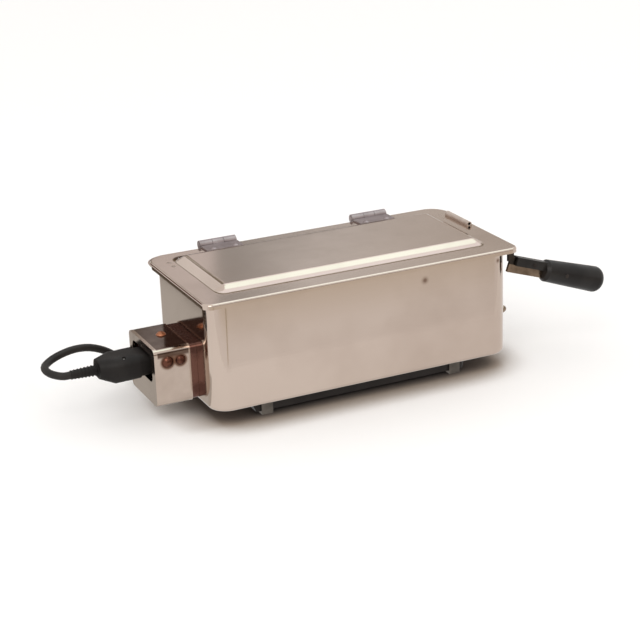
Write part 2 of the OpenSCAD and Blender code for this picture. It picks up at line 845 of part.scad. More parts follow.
module cover_screws() {
    grip = 2 * neck_t + seat_gap + bracket_t + 3.4;
    color("#b06a3c") placed() {
        for (side = [0, 1], x = screw_xs) mirror([0, side, 0])
            translate([x, -box_w / 2, screw_z]) rotate([90, 0, 0])
                cover_screw(x == screw_xs[0] ? 5.4 : 4.8, grip);
        translate([top_screw_x, top_screw_y, box_top])
            cover_screw(4.8, 2 * neck_t + seat_gap + 3.4);
    }
}

module cover_nuts() {
    y1 = -bracket_wall_y + bracket_t;
    top = box_top - 2 * neck_t - seat_gap;
    color("goldenrod") placed() {
        for (side = [0, 1], x = screw_xs) mirror([0, side, 0]) difference() {
            hex_y(y1, y1 + cover_nut_t, x, screw_z, nut_af);
            rod_y(y1 - 1, y1 + 4, x, screw_z, cover_screw_r + run_gap);
        }
        difference() {
            translate([top_screw_x, top_screw_y, top - cover_nut_t])
                cylinder(h = cover_nut_t, d = nut_af / cos(30), $fn = 6);
            top_screw_hole(cover_screw_r + run_gap);
        }
    }
}

// Brackets hold the carrier to both side walls of the neck
module carrier_brackets() {
    z0 = screw_z - 6.5;
    tall = box_top - 6.5 - z0;
    foot_y = carrier_screw_y - 3.5;
    color("gray") placed() for (side = [0, 1]) mirror([0, side, 0]) difference() {
        union() {
            translate([neck_end + 2, -bracket_wall_y, z0])
                cube([carrier_rear + bracket_t - neck_end - 2, bracket_t, tall]);
            translate([carrier_rear, -bracket_wall_y, z0])
                cube([bracket_t, bracket_wall_y - foot_y, tall]);
        }
        cover_screw_holes(cover_screw_r + run_gap);
        rod_x(carrier_rear - 1, carrier_rear + 4, -carrier_screw_y, screw_z, 1.5 + run_gap);
    }
}

module terminal_carrier() {
    color("ivory") placed() difference() {
        along_x(carrier_front, carrier_rear) translate([0, (carrier_top + carrier_low) / 2])
            round_rect(carrier_w, carrier_top - carrier_low, 3);
        for (side = [-1, 1]) {
            rod_x(carrier_front - 1, carrier_rear + 1, side * pin_pitch / 2, inlet_z, stud_r + run_gap);
            rod_x(carrier_rear - 7, carrier_rear + 1, side * carrier_screw_y, screw_z, 1.5 + run_gap);
            rod_x(carrier_front - 1, carrier_front + 4, side * carrier_screw_y, inlet_z, 1 + run_gap);
        }
    }
}

module carrier_screws() {
    color("gray") placed() for (side = [-1, 1]) {
        rod_x(carrier_rear - 6.5, carrier_rear + bracket_t, side * carrier_screw_y, screw_z, 1.5);
        translate([carrier_rear + bracket_t, side * carrier_screw_y, screw_z])
            rotate([0, 90, 0]) dome(2.8, 1.8);
    }
}

module inlet_pins() {
    color("goldenrod") placed() for (side = [-1, 1]) {
        rod_x(carrier_front, carrier_rear + link_t + link_nut_t + 0.6,
            side * pin_pitch / 2, inlet_z, stud_r);
        rod_x(pin_tip + 1, carrier_front, side * pin_pitch / 2, inlet_z, inlet_pin_r);
        translate([pin_tip, side * pin_pitch / 2, inlet_z]) rotate([0, 90, 0])
            cylinder(h = 1, r1 = inlet_pin_r - 0.8, r2 = inlet_pin_r);
    }
}

pin_tip = box_x + 1;

module earth_clips() {
    y0 = nose_w / 2 + 0.5;
    color("gray") placed() for (side = [0, 1]) mirror([0, side, 0]) {
        translate([carrier_front - 11, y0, inlet_z - 3.5]) cube([11, 0.8, 7]);
        translate([carrier_front - 0.8, y0, inlet_z - 3.5]) cube([0.8, 5, 7]);
        rod_x(carrier_front - 0.1, carrier_front + 3.5, carrier_screw_y, inlet_z, 1);
        translate([carrier_front - 0.8, carrier_screw_y, inlet_z]) rotate([0, -90, 0]) dome(1.8, 0.9);
    }
}

// Handle: a steel arm from the lid's front right corner, and the black grip on it

module on_arm() {
    translate([grip_x, 0, grip_z]) rotate([0, handle_tilt, 0]) children();
}

module handle_arm() {
    web_x1 = lid_x - lid_t - 0.1;
    web_x0 = web_x1 - 6;
    web_drop = 14;
    tab_l = 3.4;
    color("#8a7363") placed() difference() {
        translate([0, arm_y, 0]) union() {
            on_arm() translate([arm_start, -arm_t / 2, -arm_h / 2]) cube([-arm_start, arm_t, arm_h]);
            on_arm() translate([-1, -arm_t / 2, -tang_h / 2]) cube([tang_l + 1, arm_t, tang_h]);
            translate([web_x0, -arm_t / 2, rim_z - web_drop])
                cube([web_x1 - web_x0, arm_t, lid_z - rim_z + web_drop]);
            translate([web_x0 + 1.3, -arm_t / 2 - 3, lid_z - 1.2]) cube([tab_l, arm_t + 4.5, 1.2]);
        }
        translate([0, arm_y, 0]) on_arm() for (u = handle_rivet_us)
            rod_y(-arm_t, arm_t, u, handle_rivet_v(u), rivet_r + 0.4 + run_gap);
    }
}

handle_rivet_us = [-13, 22];
function handle_rivet_v(u) = u < 0 ? 3.6 : 0;

module handle_grip() {
    slot_gap = 0.1;
    color("#26221f") placed() translate([0, arm_y, 0]) on_arm() difference() {
        union() {
            rotate([0, 90, 0]) rotate_extrude() intersection() {
                union() {
                    polygon([[0, 0], [grip_r1 - 2.5, 0], [grip_r1, 3], [grip_r2, grip_l - grip_round],
                        [0, grip_l - grip_round]]);
                    translate([0, grip_l - grip_round - 0.01])
                        square([grip_r2 - grip_round, grip_round + 0.01]);
                    translate([grip_r2 - grip_round, grip_l - grip_round]) circle(grip_round);
                }
                square([20, grip_l]);
            }
            translate([-neck_l, -4.5, 0]) cube([neck_l + 3, 9, 8.3]);
        }
        translate([-neck_l - 1, -arm_t / 2 - slot_gap, -arm_h]) cube([neck_l + 1, arm_t + 2 * slot_gap,
            1.5 * arm_h + slot_gap]);
        translate([-1, -arm_t / 2 - slot_gap, -tang_h / 2 - slot_gap])
            cube([tang_l + 1 + slot_gap, arm_t + 2 * slot_gap, tang_h + 2 * slot_gap]);
        for (u = handle_rivet_us) rod_y(-20, 20, u, handle_rivet_v(u), rivet_r + 0.4 + run_gap);
    }
}

module handle_rivets() {
    half_neck = 4.5;
    half_grip = grip_r1 + 0.2;
    color("gray") placed() translate([0, arm_y, 0]) on_arm() for (u = handle_rivet_us) {
        half = u < 0 ? half_neck : half_grip;
        rod_y(-half - 0.3, half + 0.3, u, handle_rivet_v(u), rivet_r + 0.4);
    }
}

// Connector and lead

module nose_section(inset) {
    translate([0, inlet_z]) round_rect(nose_w - 2 * inset, nose_h - 2 * inset, 7 - inset);
}

module connector_nose() {
    color("#1f1c1a") placed() difference() {
        along_x(nose_rear, nose_front) nose_section(0);
        for (side = [-1, 1])
            rod_x(nose_front - contact_l, nose_front + 1,
                side * pin_pitch / 2, inlet_z, contact_r + run_gap);
    }
}

contact_r = inlet_pin_r + run_gap + 0.8;
contact_l = 20;

module contact_sleeves() {
    color("goldenrod") placed() for (side = [-1, 1]) difference() {
        rod_x(nose_front - contact_l, nose_front - 0.8, side * pin_pitch / 2, inlet_z, contact_r);
        rod_x(nose_front - contact_l - 1, nose_front + 1,
            side * pin_pitch / 2, inlet_z, inlet_pin_r + run_gap);
    }
}

// Grip of the connector: flared behind the nose, deepest near its rear end
grip_screw_y = 11;
grip_screw_x = flare_start - 14;

module grip_section(x, w, h, mid, r) {
    along_x(x, x + 1) translate([0, mid]) round_rect(w, h, r, $fn = 32);
}

module connector_grip() {
    color("#1f1c1a") placed() difference() {
        hull() {
            grip_section(flare_start - 1, nose_w + 2.4, nose_h + 2.4, inlet_z, 8);
            grip_section(flare_start - 12, 34, 23.5, inlet_z - 0.4, 9);
            grip_section(flare_start - 23, 33, 24.5, inlet_z - 0.6, 10);
            grip_section(grip_end, 21, 17, inlet_z + 0.8, 8);
        }
        along_x(nose_rear, flare_start + 1) nose_section(-0.1);
        rod_x(grip_end - 1, grip_end + 6, 0, inlet_z, relief_r1 + 0.1);
        for (y = [-grip_screw_y, grip_screw_y]) translate([grip_screw_x, y, inlet_z - nose_h])
            cylinder(h = 2 * nose_h, r = 1.5 + run_gap);
    }
}

module connector_screws() {
    color("gray") placed() for (y = [-grip_screw_y, grip_screw_y])
        translate([grip_screw_x, y, inlet_z - 10]) {
            cylinder(h = 19, r = 1.5);
            translate([0, 0, 19]) cylinder(h = 1, r1 = 1.5, r2 = 1);
        }
}

module strain_relief() {
    ribs = 8;
    step = (grip_end - relief_end) / ribs;
    color("#1f1c1a") placed() translate([relief_end, 0, inlet_z]) rotate([0, 90, 0]) {
        cylinder(h = grip_end - relief_end, r1 = relief_r2 - 0.7, r2 = relief_r1 - 1.2);
        for (i = [0:ribs - 1]) translate([0, 0, i * step])
            cylinder(h = step * 0.6, r = relief_r2 + (relief_r1 - relief_r2) * i / ribs);
        translate([0, 0, grip_end - relief_end]) cylinder(h = 6, r = relief_r1);
    }
}

// Route of the lead from the strain relief to the coil, about the tank's middle
cord_z = cord_d / 2 + 0.2;
tie_t = 1;
coil_z = cord_d / 2 + tie_t + 0.5;
lead_route = [
    [relief_end, 0, inlet_z], [-263.5, 0, inlet_z], [-269.2, 3, 50.8], [-273.4, 8.6, 51.5],
    [-275.1, 16, 52.1], [-273.9, 24, 52.1],
    [-270.2, 31, 52], [-262.6, 38, 52.8], [-253.5, 43, 53.8], [-242.8, 47, 54.4],
    [-232.4, 50, 53.7], [-222.1, 53, 51.2], [-212.2, 55, 47], [-204.2, 57, 42.1],
    [-194, 61, 34], [-184, 65, 26], [-174, 71, 17.5], [-163, 79, 9.8], [-151, 88, 5.2], [-137, 98, cord_z],
    [-121, 106, cord_z], [-103, 111, 4], [-84, 112, 4.6], [-64, 112, coil_z], [-44, 112, coil_z]
];
coil_centre = [-44, 160];
coil_out_r = 48;
coil_step = 7.9;
coil_turns = 2.5;
coil_rise = 7.8;
coil_start = -90;
tail_route = [
    [-44, 112, coil_z + coil_rise], [-34, 112, coil_z + coil_rise], [-22, 111, 11.5], [-9, 110, 8.6],
    [4, 110, 5.6], [17, 112, cord_z], [30, 116, 4.6], [41, 121, 7.4], [51, 125, 10.6], [61, 127, 12],
    [72, 127, 12]
];

function unit(v) = v / norm(v);
function tangent(p, i) = unit(p[min(i + 1, len(p) - 1)] - p[max(i - 1, 0)]);
function ring(c, t, r, sides) =
    let (u = unit(cross([0, 0, 1], t)), v = cross(t, u))
    [for (k = [0:sides - 1]) let (a = 360 * (k + 0.5) / sides) c + r * (cos(a) * u + sin(a) * v)];

// One closed tube through the points of a path
module tube(path, r, sides) {
    n = len(path);
    rings = [for (i = [0:n - 1]) each ring(path[i], tangent(path, i), r, sides)];
    caps = [[for (k = [0:sides - 1]) k], [for (k = [sides - 1:-1:0]) (n - 1) * sides + k]];
    walls = [for (i = [0:n - 2], k = [0:sides - 1]) let (a = i * sides + k, b = i * sides + (k + 1) % sides)
        each [[a, b + sides, b], [a, a + sides, b + sides]]];
    polyhedron(points = rings, faces = concat(caps, walls));
}

// The coil spirals in on the floor, climbs half a turn, and spirals out on top
coil_rings = 24;
function coil_r(turn) = coil_out_r - coil_step * (turn < coil_turns ? turn : 2 * coil_turns - turn);
function coil_lift(turn) =
    turn < coil_turns - 0.25 ? 0 :
    turn > coil_turns + 0.25 ? coil_rise : coil_rise * (turn - coil_turns + 0.25) * 2;
coil_path = [for (i = [0:2 * coil_turns * coil_rings])
    let (turn = i / coil_rings, a = coil_start + 360 * turn)
    [coil_centre[0] + coil_r(turn) * cos(a), coil_centre[1] + coil_r(turn) * sin(a),
        coil_z + coil_lift(turn)]];

// Least gap of the coil to itself, and length of each stretch, measured on the path's points
function gaps(p, apart) = [for (i = [0:len(p) - 1 - apart], j = [i + apart:len(p) - 1]) norm(p[i] - p[j])];
function lengths(p) = [for (i = [1:len(p) - 1]) norm(p[i] - p[i - 1])];
function sum(v, i = 0) = i == len(v) ? 0 : v[i] + sum(v, i + 1);
coil_gap = min(gaps(coil_path, coil_rings / 2)) - cord_d;
tail_gaps = [for (a = tail_route, b = coil_path)
    if (a[0] > coil_centre[0] + coil_out_r / 2) norm(a - b)];
tail_gap = min(tail_gaps) - cord_d;
echo(coil_gap = coil_gap, tail_gap = tail_gap);
echo(lead = sum(lengths(lead_route)), coil = sum(lengths(coil_path)), tail = sum(lengths(tail_route)));

module cord_lead() {
    color("#2a2624") placed() tube(lead_route, cord_d / 2, 8);
}

module cord_coil() {
    color("#2a2624") placed() tube(coil_path, cord_d / 2, 6);
}

module cord_tail() {
    color("#2a2624") placed() tube(tail_route, cord_d / 2, 8);
}

// Tie round the coil: a flat strap bent into a loop
module cord_tie() {
    inner_w = 2 * coil_step + cord_d + 1;
    inner_h = coil_rise + cord_d + 0.6;
    mid = [coil_centre[0], coil_centre[1] + coil_out_r - 1.5 * coil_step, coil_z + coil_rise / 2];
    color("#2a2624") placed() translate(mid) along_x(-3, 3) difference() {
        round_rect(inner_w + 2 * tie_t, inner_h + 2 * tie_t, 5);
        round_rect(inner_w, inner_h, 4);
    }
}

// Mains plug: a round pin plug lying on its flat side
plug_x = 72;
plug_y = 127;
plug_z = 12;
plug_face = 38;
plug_pin_l = 16;
plug_pin_in = 7;

module mains_plug() {
    color("#1f1c1a") placed() translate([plug_x, plug_y, plug_z]) difference() {
        union() {
            along_x(14, 34) intersection() {
                circle(21);
                square([42, 2 * plug_z - 0.1], center = true);
            }
            along_x(34, plug_face) intersection() {
                circle(19);
                square([38, 2 * plug_z - 2], center = true);
            }
            translate([14, 0, 0]) rotate([0, 90, 0]) rotate([0, 180, 0]) cylinder(h = 6, r = 9);
        }
        rod_x(0, 16, 0, 0, relief_r1 + 0.1);
        for (p = plug_pin_spots)
            rod_x(plug_face - plug_pin_in - 1, plug_face + 2, p[0], p[1], p[2] + run_gap);
    }
}

plug_pin_spots = [[0, 6.5, 3.5], [-9.5, -5, 2.5], [9.5, -5, 2.5]];

module plug_pins() {
    color("goldenrod") placed() translate([plug_x, plug_y, plug_z]) for (p = plug_pin_spots) {
        tip = plug_face + plug_pin_l + p[2];
        rod_x(plug_face - plug_pin_in, tip, p[0], p[1], p[2]);
        translate([tip, p[0], p[1]]) rotate([0, 90, 0]) cylinder(h = 1, r1 = p[2], r2 = p[2] - 0.8);
    }
}

module plug_relief() {
    color("#1f1c1a") placed() translate([plug_x, plug_y, plug_z]) rotate([0, 90, 0]) union() {
        cylinder(h = 15, r1 = relief_r2, r2 = relief_r1);
        for (i = [0:3]) translate([0, 0, i * 2]) cylinder(h = 1.2, r = relief_r2 + 0.4 + i * 0.2);
    }
}

tank();
level_screw();
dome_nut();
base_plinth();
feet();
lid();
lid_lug();
hinge_leaf_tank_left();
hinge_leaf_tank_right();
hinge_leaf_lid_left();
hinge_leaf_lid_right();
hinge_pins();
hinge_rivets();
lid_rivets();
lift_arm_left();
lift_arm_right();
lift_pins();
arm_rivets();
tray();
tray_hanger_left();
tray_hanger_right();
tray_rivets();
guide_rods();
rod_brackets();
heating_element();
element_glands();
gland_nuts();
element_studs();
element_links();
link_nuts();
terminal_box_neck();
terminal_box_cover();
cover_screws();
cover_nuts();
carrier_brackets();
terminal_carrier();
carrier_screws();
inlet_pins();
earth_clips();
handle_arm();
handle_grip();
handle_rivets();
connector_nose();
connector_grip();
contact_sleeves();
connector_screws();
strain_relief();
cord_lead();
cord_coil();
cord_tie();
cord_tail();
mains_plug();
plug_pins();
plug_relief();
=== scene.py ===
import math
import bmesh
import bpy
from mathutils import Matrix, Vector


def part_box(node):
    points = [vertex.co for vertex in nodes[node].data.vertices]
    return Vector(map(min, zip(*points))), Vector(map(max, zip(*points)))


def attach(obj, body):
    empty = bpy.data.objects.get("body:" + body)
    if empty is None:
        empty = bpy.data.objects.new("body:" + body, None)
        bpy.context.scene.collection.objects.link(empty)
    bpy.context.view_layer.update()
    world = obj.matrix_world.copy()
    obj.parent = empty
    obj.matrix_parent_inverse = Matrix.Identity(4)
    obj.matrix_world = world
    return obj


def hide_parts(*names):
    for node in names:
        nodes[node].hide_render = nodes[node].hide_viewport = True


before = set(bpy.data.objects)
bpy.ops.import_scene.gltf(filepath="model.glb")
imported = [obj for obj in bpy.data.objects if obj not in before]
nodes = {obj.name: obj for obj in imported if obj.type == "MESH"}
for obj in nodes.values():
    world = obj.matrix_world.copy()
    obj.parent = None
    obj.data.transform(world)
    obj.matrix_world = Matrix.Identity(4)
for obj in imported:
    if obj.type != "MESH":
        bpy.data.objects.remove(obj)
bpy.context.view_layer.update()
tankLow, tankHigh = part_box("tank")
tankMid = Vector(((tankLow.x + tankHigh.x) / 2, (tankLow.y + tankHigh.y) / 2, 0))
print("frame loaded:", len(nodes), "nodes")


def place(x, y, z):  # millimetres about the tank's middle, as a point of the frame
    return Vector((tankMid.x + x / 1000, tankMid.y + y / 1000, z / 1000))


# ---- camera at the photograph's angle
photoView = {
    "azimuth": -24.5, "elevation": 20.3, "roll": -2.2, "lens": 97.3,
    "distance": 1.617, "across": -0.0123, "upward": -0.0162, "aimHeight": 0.07,
}


def aimCamera(view):
    turn, lift, roll = (math.radians(view[k]) for k in ("azimuth", "elevation", "roll"))
    back = Vector((math.sin(turn) * math.cos(lift), -math.cos(turn) * math.cos(lift), math.sin(lift)))
    level = Vector((math.cos(turn), math.sin(turn), 0))
    upright = back.cross(level)
    side = level * math.cos(roll) + upright * math.sin(roll)
    top = upright * math.cos(roll) - level * math.sin(roll)
    data = bpy.data.cameras.new("photoCamera")
    data.lens, data.sensor_width = view["lens"], 36
    data.clip_start, data.clip_end = 0.05, 60
    camera = bpy.data.objects.new("photoCamera", data)
    bpy.context.scene.collection.objects.link(camera)
    spot = tankMid + Vector((0, 0, view["aimHeight"])) + side * view["across"] + top * view["upward"]
    spot += back * view["distance"]
    camera.matrix_world = Matrix((
        (side.x, top.x, back.x, spot.x), (side.y, top.y, back.y, spot.y),
        (side.z, top.z, back.z, spot.z), (0, 0, 0, 1)))
    bpy.context.scene.camera = camera


aimCamera(photoView)
print("camera set")


# ---- meshes
def addPiece(name, mesh, smooth=32, outward=True):
    piece = bpy.data.objects.new(name, mesh)
    bpy.context.scene.collection.objects.link(piece)
    tidy = bmesh.new()
    tidy.from_mesh(mesh)
    bmesh.ops.remove_doubles(tidy, verts=tidy.verts, dist=2e-6)
    if outward:
        bmesh.ops.recalc_face_normals(tidy, faces=tidy.faces)
    tidy.to_mesh(mesh)
    tidy.free()
    shadeByAngle(mesh, smooth)
    return piece


def newPiece(name, points, faces, smooth=32):
    mesh = bpy.data.meshes.new(name)
    mesh.from_pydata([tuple(p) for p in points], [], faces)
    mesh.update()
    return addPiece(name, mesh, smooth)


def shadeByAngle(mesh, degrees):
    for face in mesh.polygons:
        face.use_smooth = True
    mesh.set_sharp_from_angle(angle=math.radians(degrees))


def addModifier(piece, kind, **values):
    modifier = piece.modifiers.new(kind.lower(), kind)
    for key, value in values.items():
        setattr(modifier, key, value)
    return modifier


def bevelEdges(piece, width, segments=2, angle=30):
    addModifier(piece, "BEVEL", width=width / 1000, segments=segments, limit_method="ANGLE",
                angle_limit=math.radians(angle), use_clamp_overlap=True)


def fixShape(piece, smooth):  # turn the modifiers so far into plain mesh
    reach = bpy.context.evaluated_depsgraph_get()
    mesh = bpy.data.meshes.new_from_object(piece.evaluated_get(reach))
    piece.modifiers.clear()
    piece.data = mesh
    shadeByAngle(mesh, smooth)


def keepFlat(piece):  # broad faces keep their own normals beside small round ones
    addModifier(piece, "WEIGHTED_NORMAL", mode="FACE_AREA", weight=80, keep_sharp=True)


def skin(rings, closeStart=False, closeEnd=False):  # quads between rings of equal counts
    count = len(rings[0])
    points = [p for ring in rings for p in ring]
    faces = []
    for i in range(len(rings) - 1):
        for k in range(count):
            a, b = i * count + k, i * count + (k + 1) % count
            faces.append((a, b, b + count, a + count))
    if closeStart:
        faces.append(tuple(range(count - 1, -1, -1)))
    if closeEnd:
        faces.append(tuple(range((len(rings) - 1) * count, len(rings) * count)))
    return points, faces


def roundedRing(halfLength, halfWidth, radius, height, steps=12):
    ring = []
    for quarter in range(4):
        cx = (halfLength - radius) * (1 if quarter in (0, 3) else -1)
        cy = (halfWidth - radius) * (1 if quarter < 2 else -1)
        for i in range(steps + 1):
            a = math.pi / 2 * (quarter + i / steps)
            ring.append(place(cx + radius * math.cos(a), cy + radius * math.sin(a), height))
    return ring


def copyNode(name, node, smooth=32, flatten=True):
    mesh = nodes[node].data.copy()
    mesh.name = name
    piece = addPiece(name, mesh, smooth, outward=False)
    if flatten:
        tidy = bmesh.new()
        tidy.from_mesh(mesh)
        bmesh.ops.dissolve_limit(tidy, angle_limit=math.radians(0.5), verts=tidy.verts, edges=tidy.edges)
        tidy.to_mesh(mesh)
        tidy.free()
        shadeByAngle(mesh, smooth)
    return piece


# ---- Geometry Nodes helpers
def newTree(name, inputs):
    tree = bpy.data.node_groups.new(name, "GeometryNodeTree")
    tree.interface.new_socket("Geometry", in_out="INPUT", socket_type="NodeSocketGeometry")
    for label, kind, value in inputs:
        socket = tree.interface.new_socket(label, in_out="INPUT", socket_type="NodeSocket" + kind)
        if value is not None:
            socket.default_value = value
    tree.interface.new_socket("Geometry", in_out="OUTPUT", socket_type="NodeSocketGeometry")
    return tree, tree.nodes.new("NodeGroupInput"), tree.nodes.new("NodeGroupOutput")


def addNode(tree, kind, links=None, **settings):
    node = tree.nodes.new(kind)
    for key, value in settings.items():
        setattr(node, key, value)
    for key, value in (links or {}).items():
        if isinstance(value, bpy.types.NodeSocket):
            tree.links.new(value, node.inputs[key])
        else:
            node.inputs[key].default_value = value
    return node


def calculate(tree, operation, a, b=0.0):
    return addNode(tree, "ShaderNodeMath", {0: a, 1: b}, operation=operation).outputs[0]


def runTree(piece, tree, values):
    modifier = piece.modifiers.new("shape", "NODES")
    modifier.node_group = tree
    for item in tree.interface.items_tree:
        if item.in_out == "INPUT" and item.name in values:
            modifier[item.identifier] = values[item.name]
    reach = bpy.context.evaluated_depsgraph_get()
    mesh = bpy.data.meshes.new_from_object(piece.evaluated_get(reach))
    piece.modifiers.clear()
    piece.data = mesh
    return piece


# ---- shader groups
def shaderGroup(name, inputs, outputs):
    group = bpy.data.node_groups.new(name, "ShaderNodeTree")
    for label, kind, value in inputs:
        socket = group.interface.new_socket(label, in_out="INPUT", socket_type="NodeSocket" + kind)
        if value is not None:
            socket.default_value = value
    for label, kind in outputs:
        group.interface.new_socket(label, in_out="OUTPUT", socket_type="NodeSocket" + kind)
    return group, group.nodes.new("NodeGroupInput"), group.nodes.new("NodeGroupOutput")


def objectPoints(tree, scale=(1, 1, 1)):
    where = addNode(tree, "ShaderNodeTexCoord")
    return addNode(tree, "ShaderNodeMapping", {"Vector": where.outputs["Object"], "Scale": scale}).outputs[0]


def noise(tree, scale, detail=3.0, stretch=(1, 1, 1), roughness=0.55):
    return addNode(tree, "ShaderNodeTexNoise", {
        "Vector": objectPoints(tree, stretch), "Scale": scale, "Detail": detail, "Roughness": roughness,
    }).outputs["Fac"]


def remap(tree, value, fromLow, fromHigh, toLow, toHigh):
    return addNode(tree, "ShaderNodeMapRange", {
        "Value": value, "From Min": fromLow, "From Max": fromHigh, "To Min": toLow, "To Max": toHigh,
    }).outputs["Result"]


def blendColours(tree, factor, first, second):
    mix = addNode(tree, "ShaderNodeMix", data_type="RGBA")
    for key, value in ((0, factor), (6, first), (7, second)):
        if isinstance(value, bpy.types.NodeSocket):
            tree.links.new(value, mix.inputs[key])
        else:
            mix.inputs[key].default_value = value
    return mix.outputs[2]


def makeHandMarks():  # soft smudges and wiping marks on polished sheet
    tree, given, made = shaderGroup("handMarks", [
        ("Base Roughness", "Float", 0.12), ("Smudge", "Float", 0.1), ("Size", "Float", 14.0),
        ("Dent Depth", "Float", 0.2), ("Scratch Depth", "Float", 0.1),
    ], [("Roughness", "Float"), ("Mask", "Float"), ("Normal", "Vector")])
    cloud = noise(tree, given.outputs["Size"], 4.0)
    mask = remap(tree, cloud, 0.42, 0.68, 0.0, 1.0)
    wiped = noise(tree, 90.0, 2.0, (0.25, 1.0, 3.0))
    rough = calculate(tree, "MULTIPLY", mask, given.outputs["Smudge"])
    rough = calculate(tree, "ADD", rough, given.outputs["Base Roughness"])
    rough = calculate(tree, "ADD", rough, calculate(tree, "MULTIPLY", wiped, 0.04))
    tree.links.new(rough, made.inputs["Roughness"])
    tree.links.new(mask, made.inputs["Mask"])
    dents = noise(tree, 9.0, 1.0)
    dented = addNode(tree, "ShaderNodeBump", {
        "Strength": given.outputs["Dent Depth"], "Distance": 0.004, "Height": dents})
    scratches = noise(tree, 420.0, 3.0, (0.06, 1.0, 1.0))
    bump = addNode(tree, "ShaderNodeBump", {
        "Strength": given.outputs["Scratch Depth"], "Distance": 0.0002, "Height": scratches,
        "Normal": dented.outputs["Normal"]})
    tree.links.new(bump.outputs["Normal"], made.inputs["Normal"])
    return tree


def makeMouldGrain():  # fine grain and rubbed patches of moulded plastic and rubber
    tree, given, made = shaderGroup("mouldGrain", [
        ("Base Roughness", "Float", 0.45), ("Grain Size", "Float", 900.0), ("Grain Depth", "Float", 0.2),
        ("Rubbed", "Float", 0.2),
    ], [("Roughness", "Float"), ("Mask", "Float"), ("Normal", "Vector")])
    patch = remap(tree, noise(tree, 35.0, 4.0), 0.4, 0.7, 0.0, 1.0)
    rough = calculate(tree, "SUBTRACT", given.outputs["Base Roughness"],
                      calculate(tree, "MULTIPLY", patch, given.outputs["Rubbed"]))
    tree.links.new(rough, made.inputs["Roughness"])
    tree.links.new(patch, made.inputs["Mask"])
    grain = noise(tree, given.outputs["Grain Size"], 2.0)
    bump = addNode(tree, "ShaderNodeBump", {
        "Strength": given.outputs["Grain Depth"], "Distance": 0.0003, "Height": grain})
    tree.links.new(bump.outputs["Normal"], made.inputs["Normal"])
    return tree


handMarks = makeHandMarks()
mouldGrain = makeMouldGrain()


def newMaterial(name, **sockets):
    material = bpy.data.materials.new(name)
    material.use_nodes = True
    tree = material.node_tree
    surface = tree.nodes["Principled BSDF"]
    for key, value in sockets.items():
        surface.inputs[key.replace("_", " ")].default_value = value
    return material, tree, surface


def useGroup(tree, group, values):
    node = tree.nodes.new("ShaderNodeGroup")
    node.node_tree = group
    for key, value in values.items():
        node.inputs[key].default_value = value
    return node


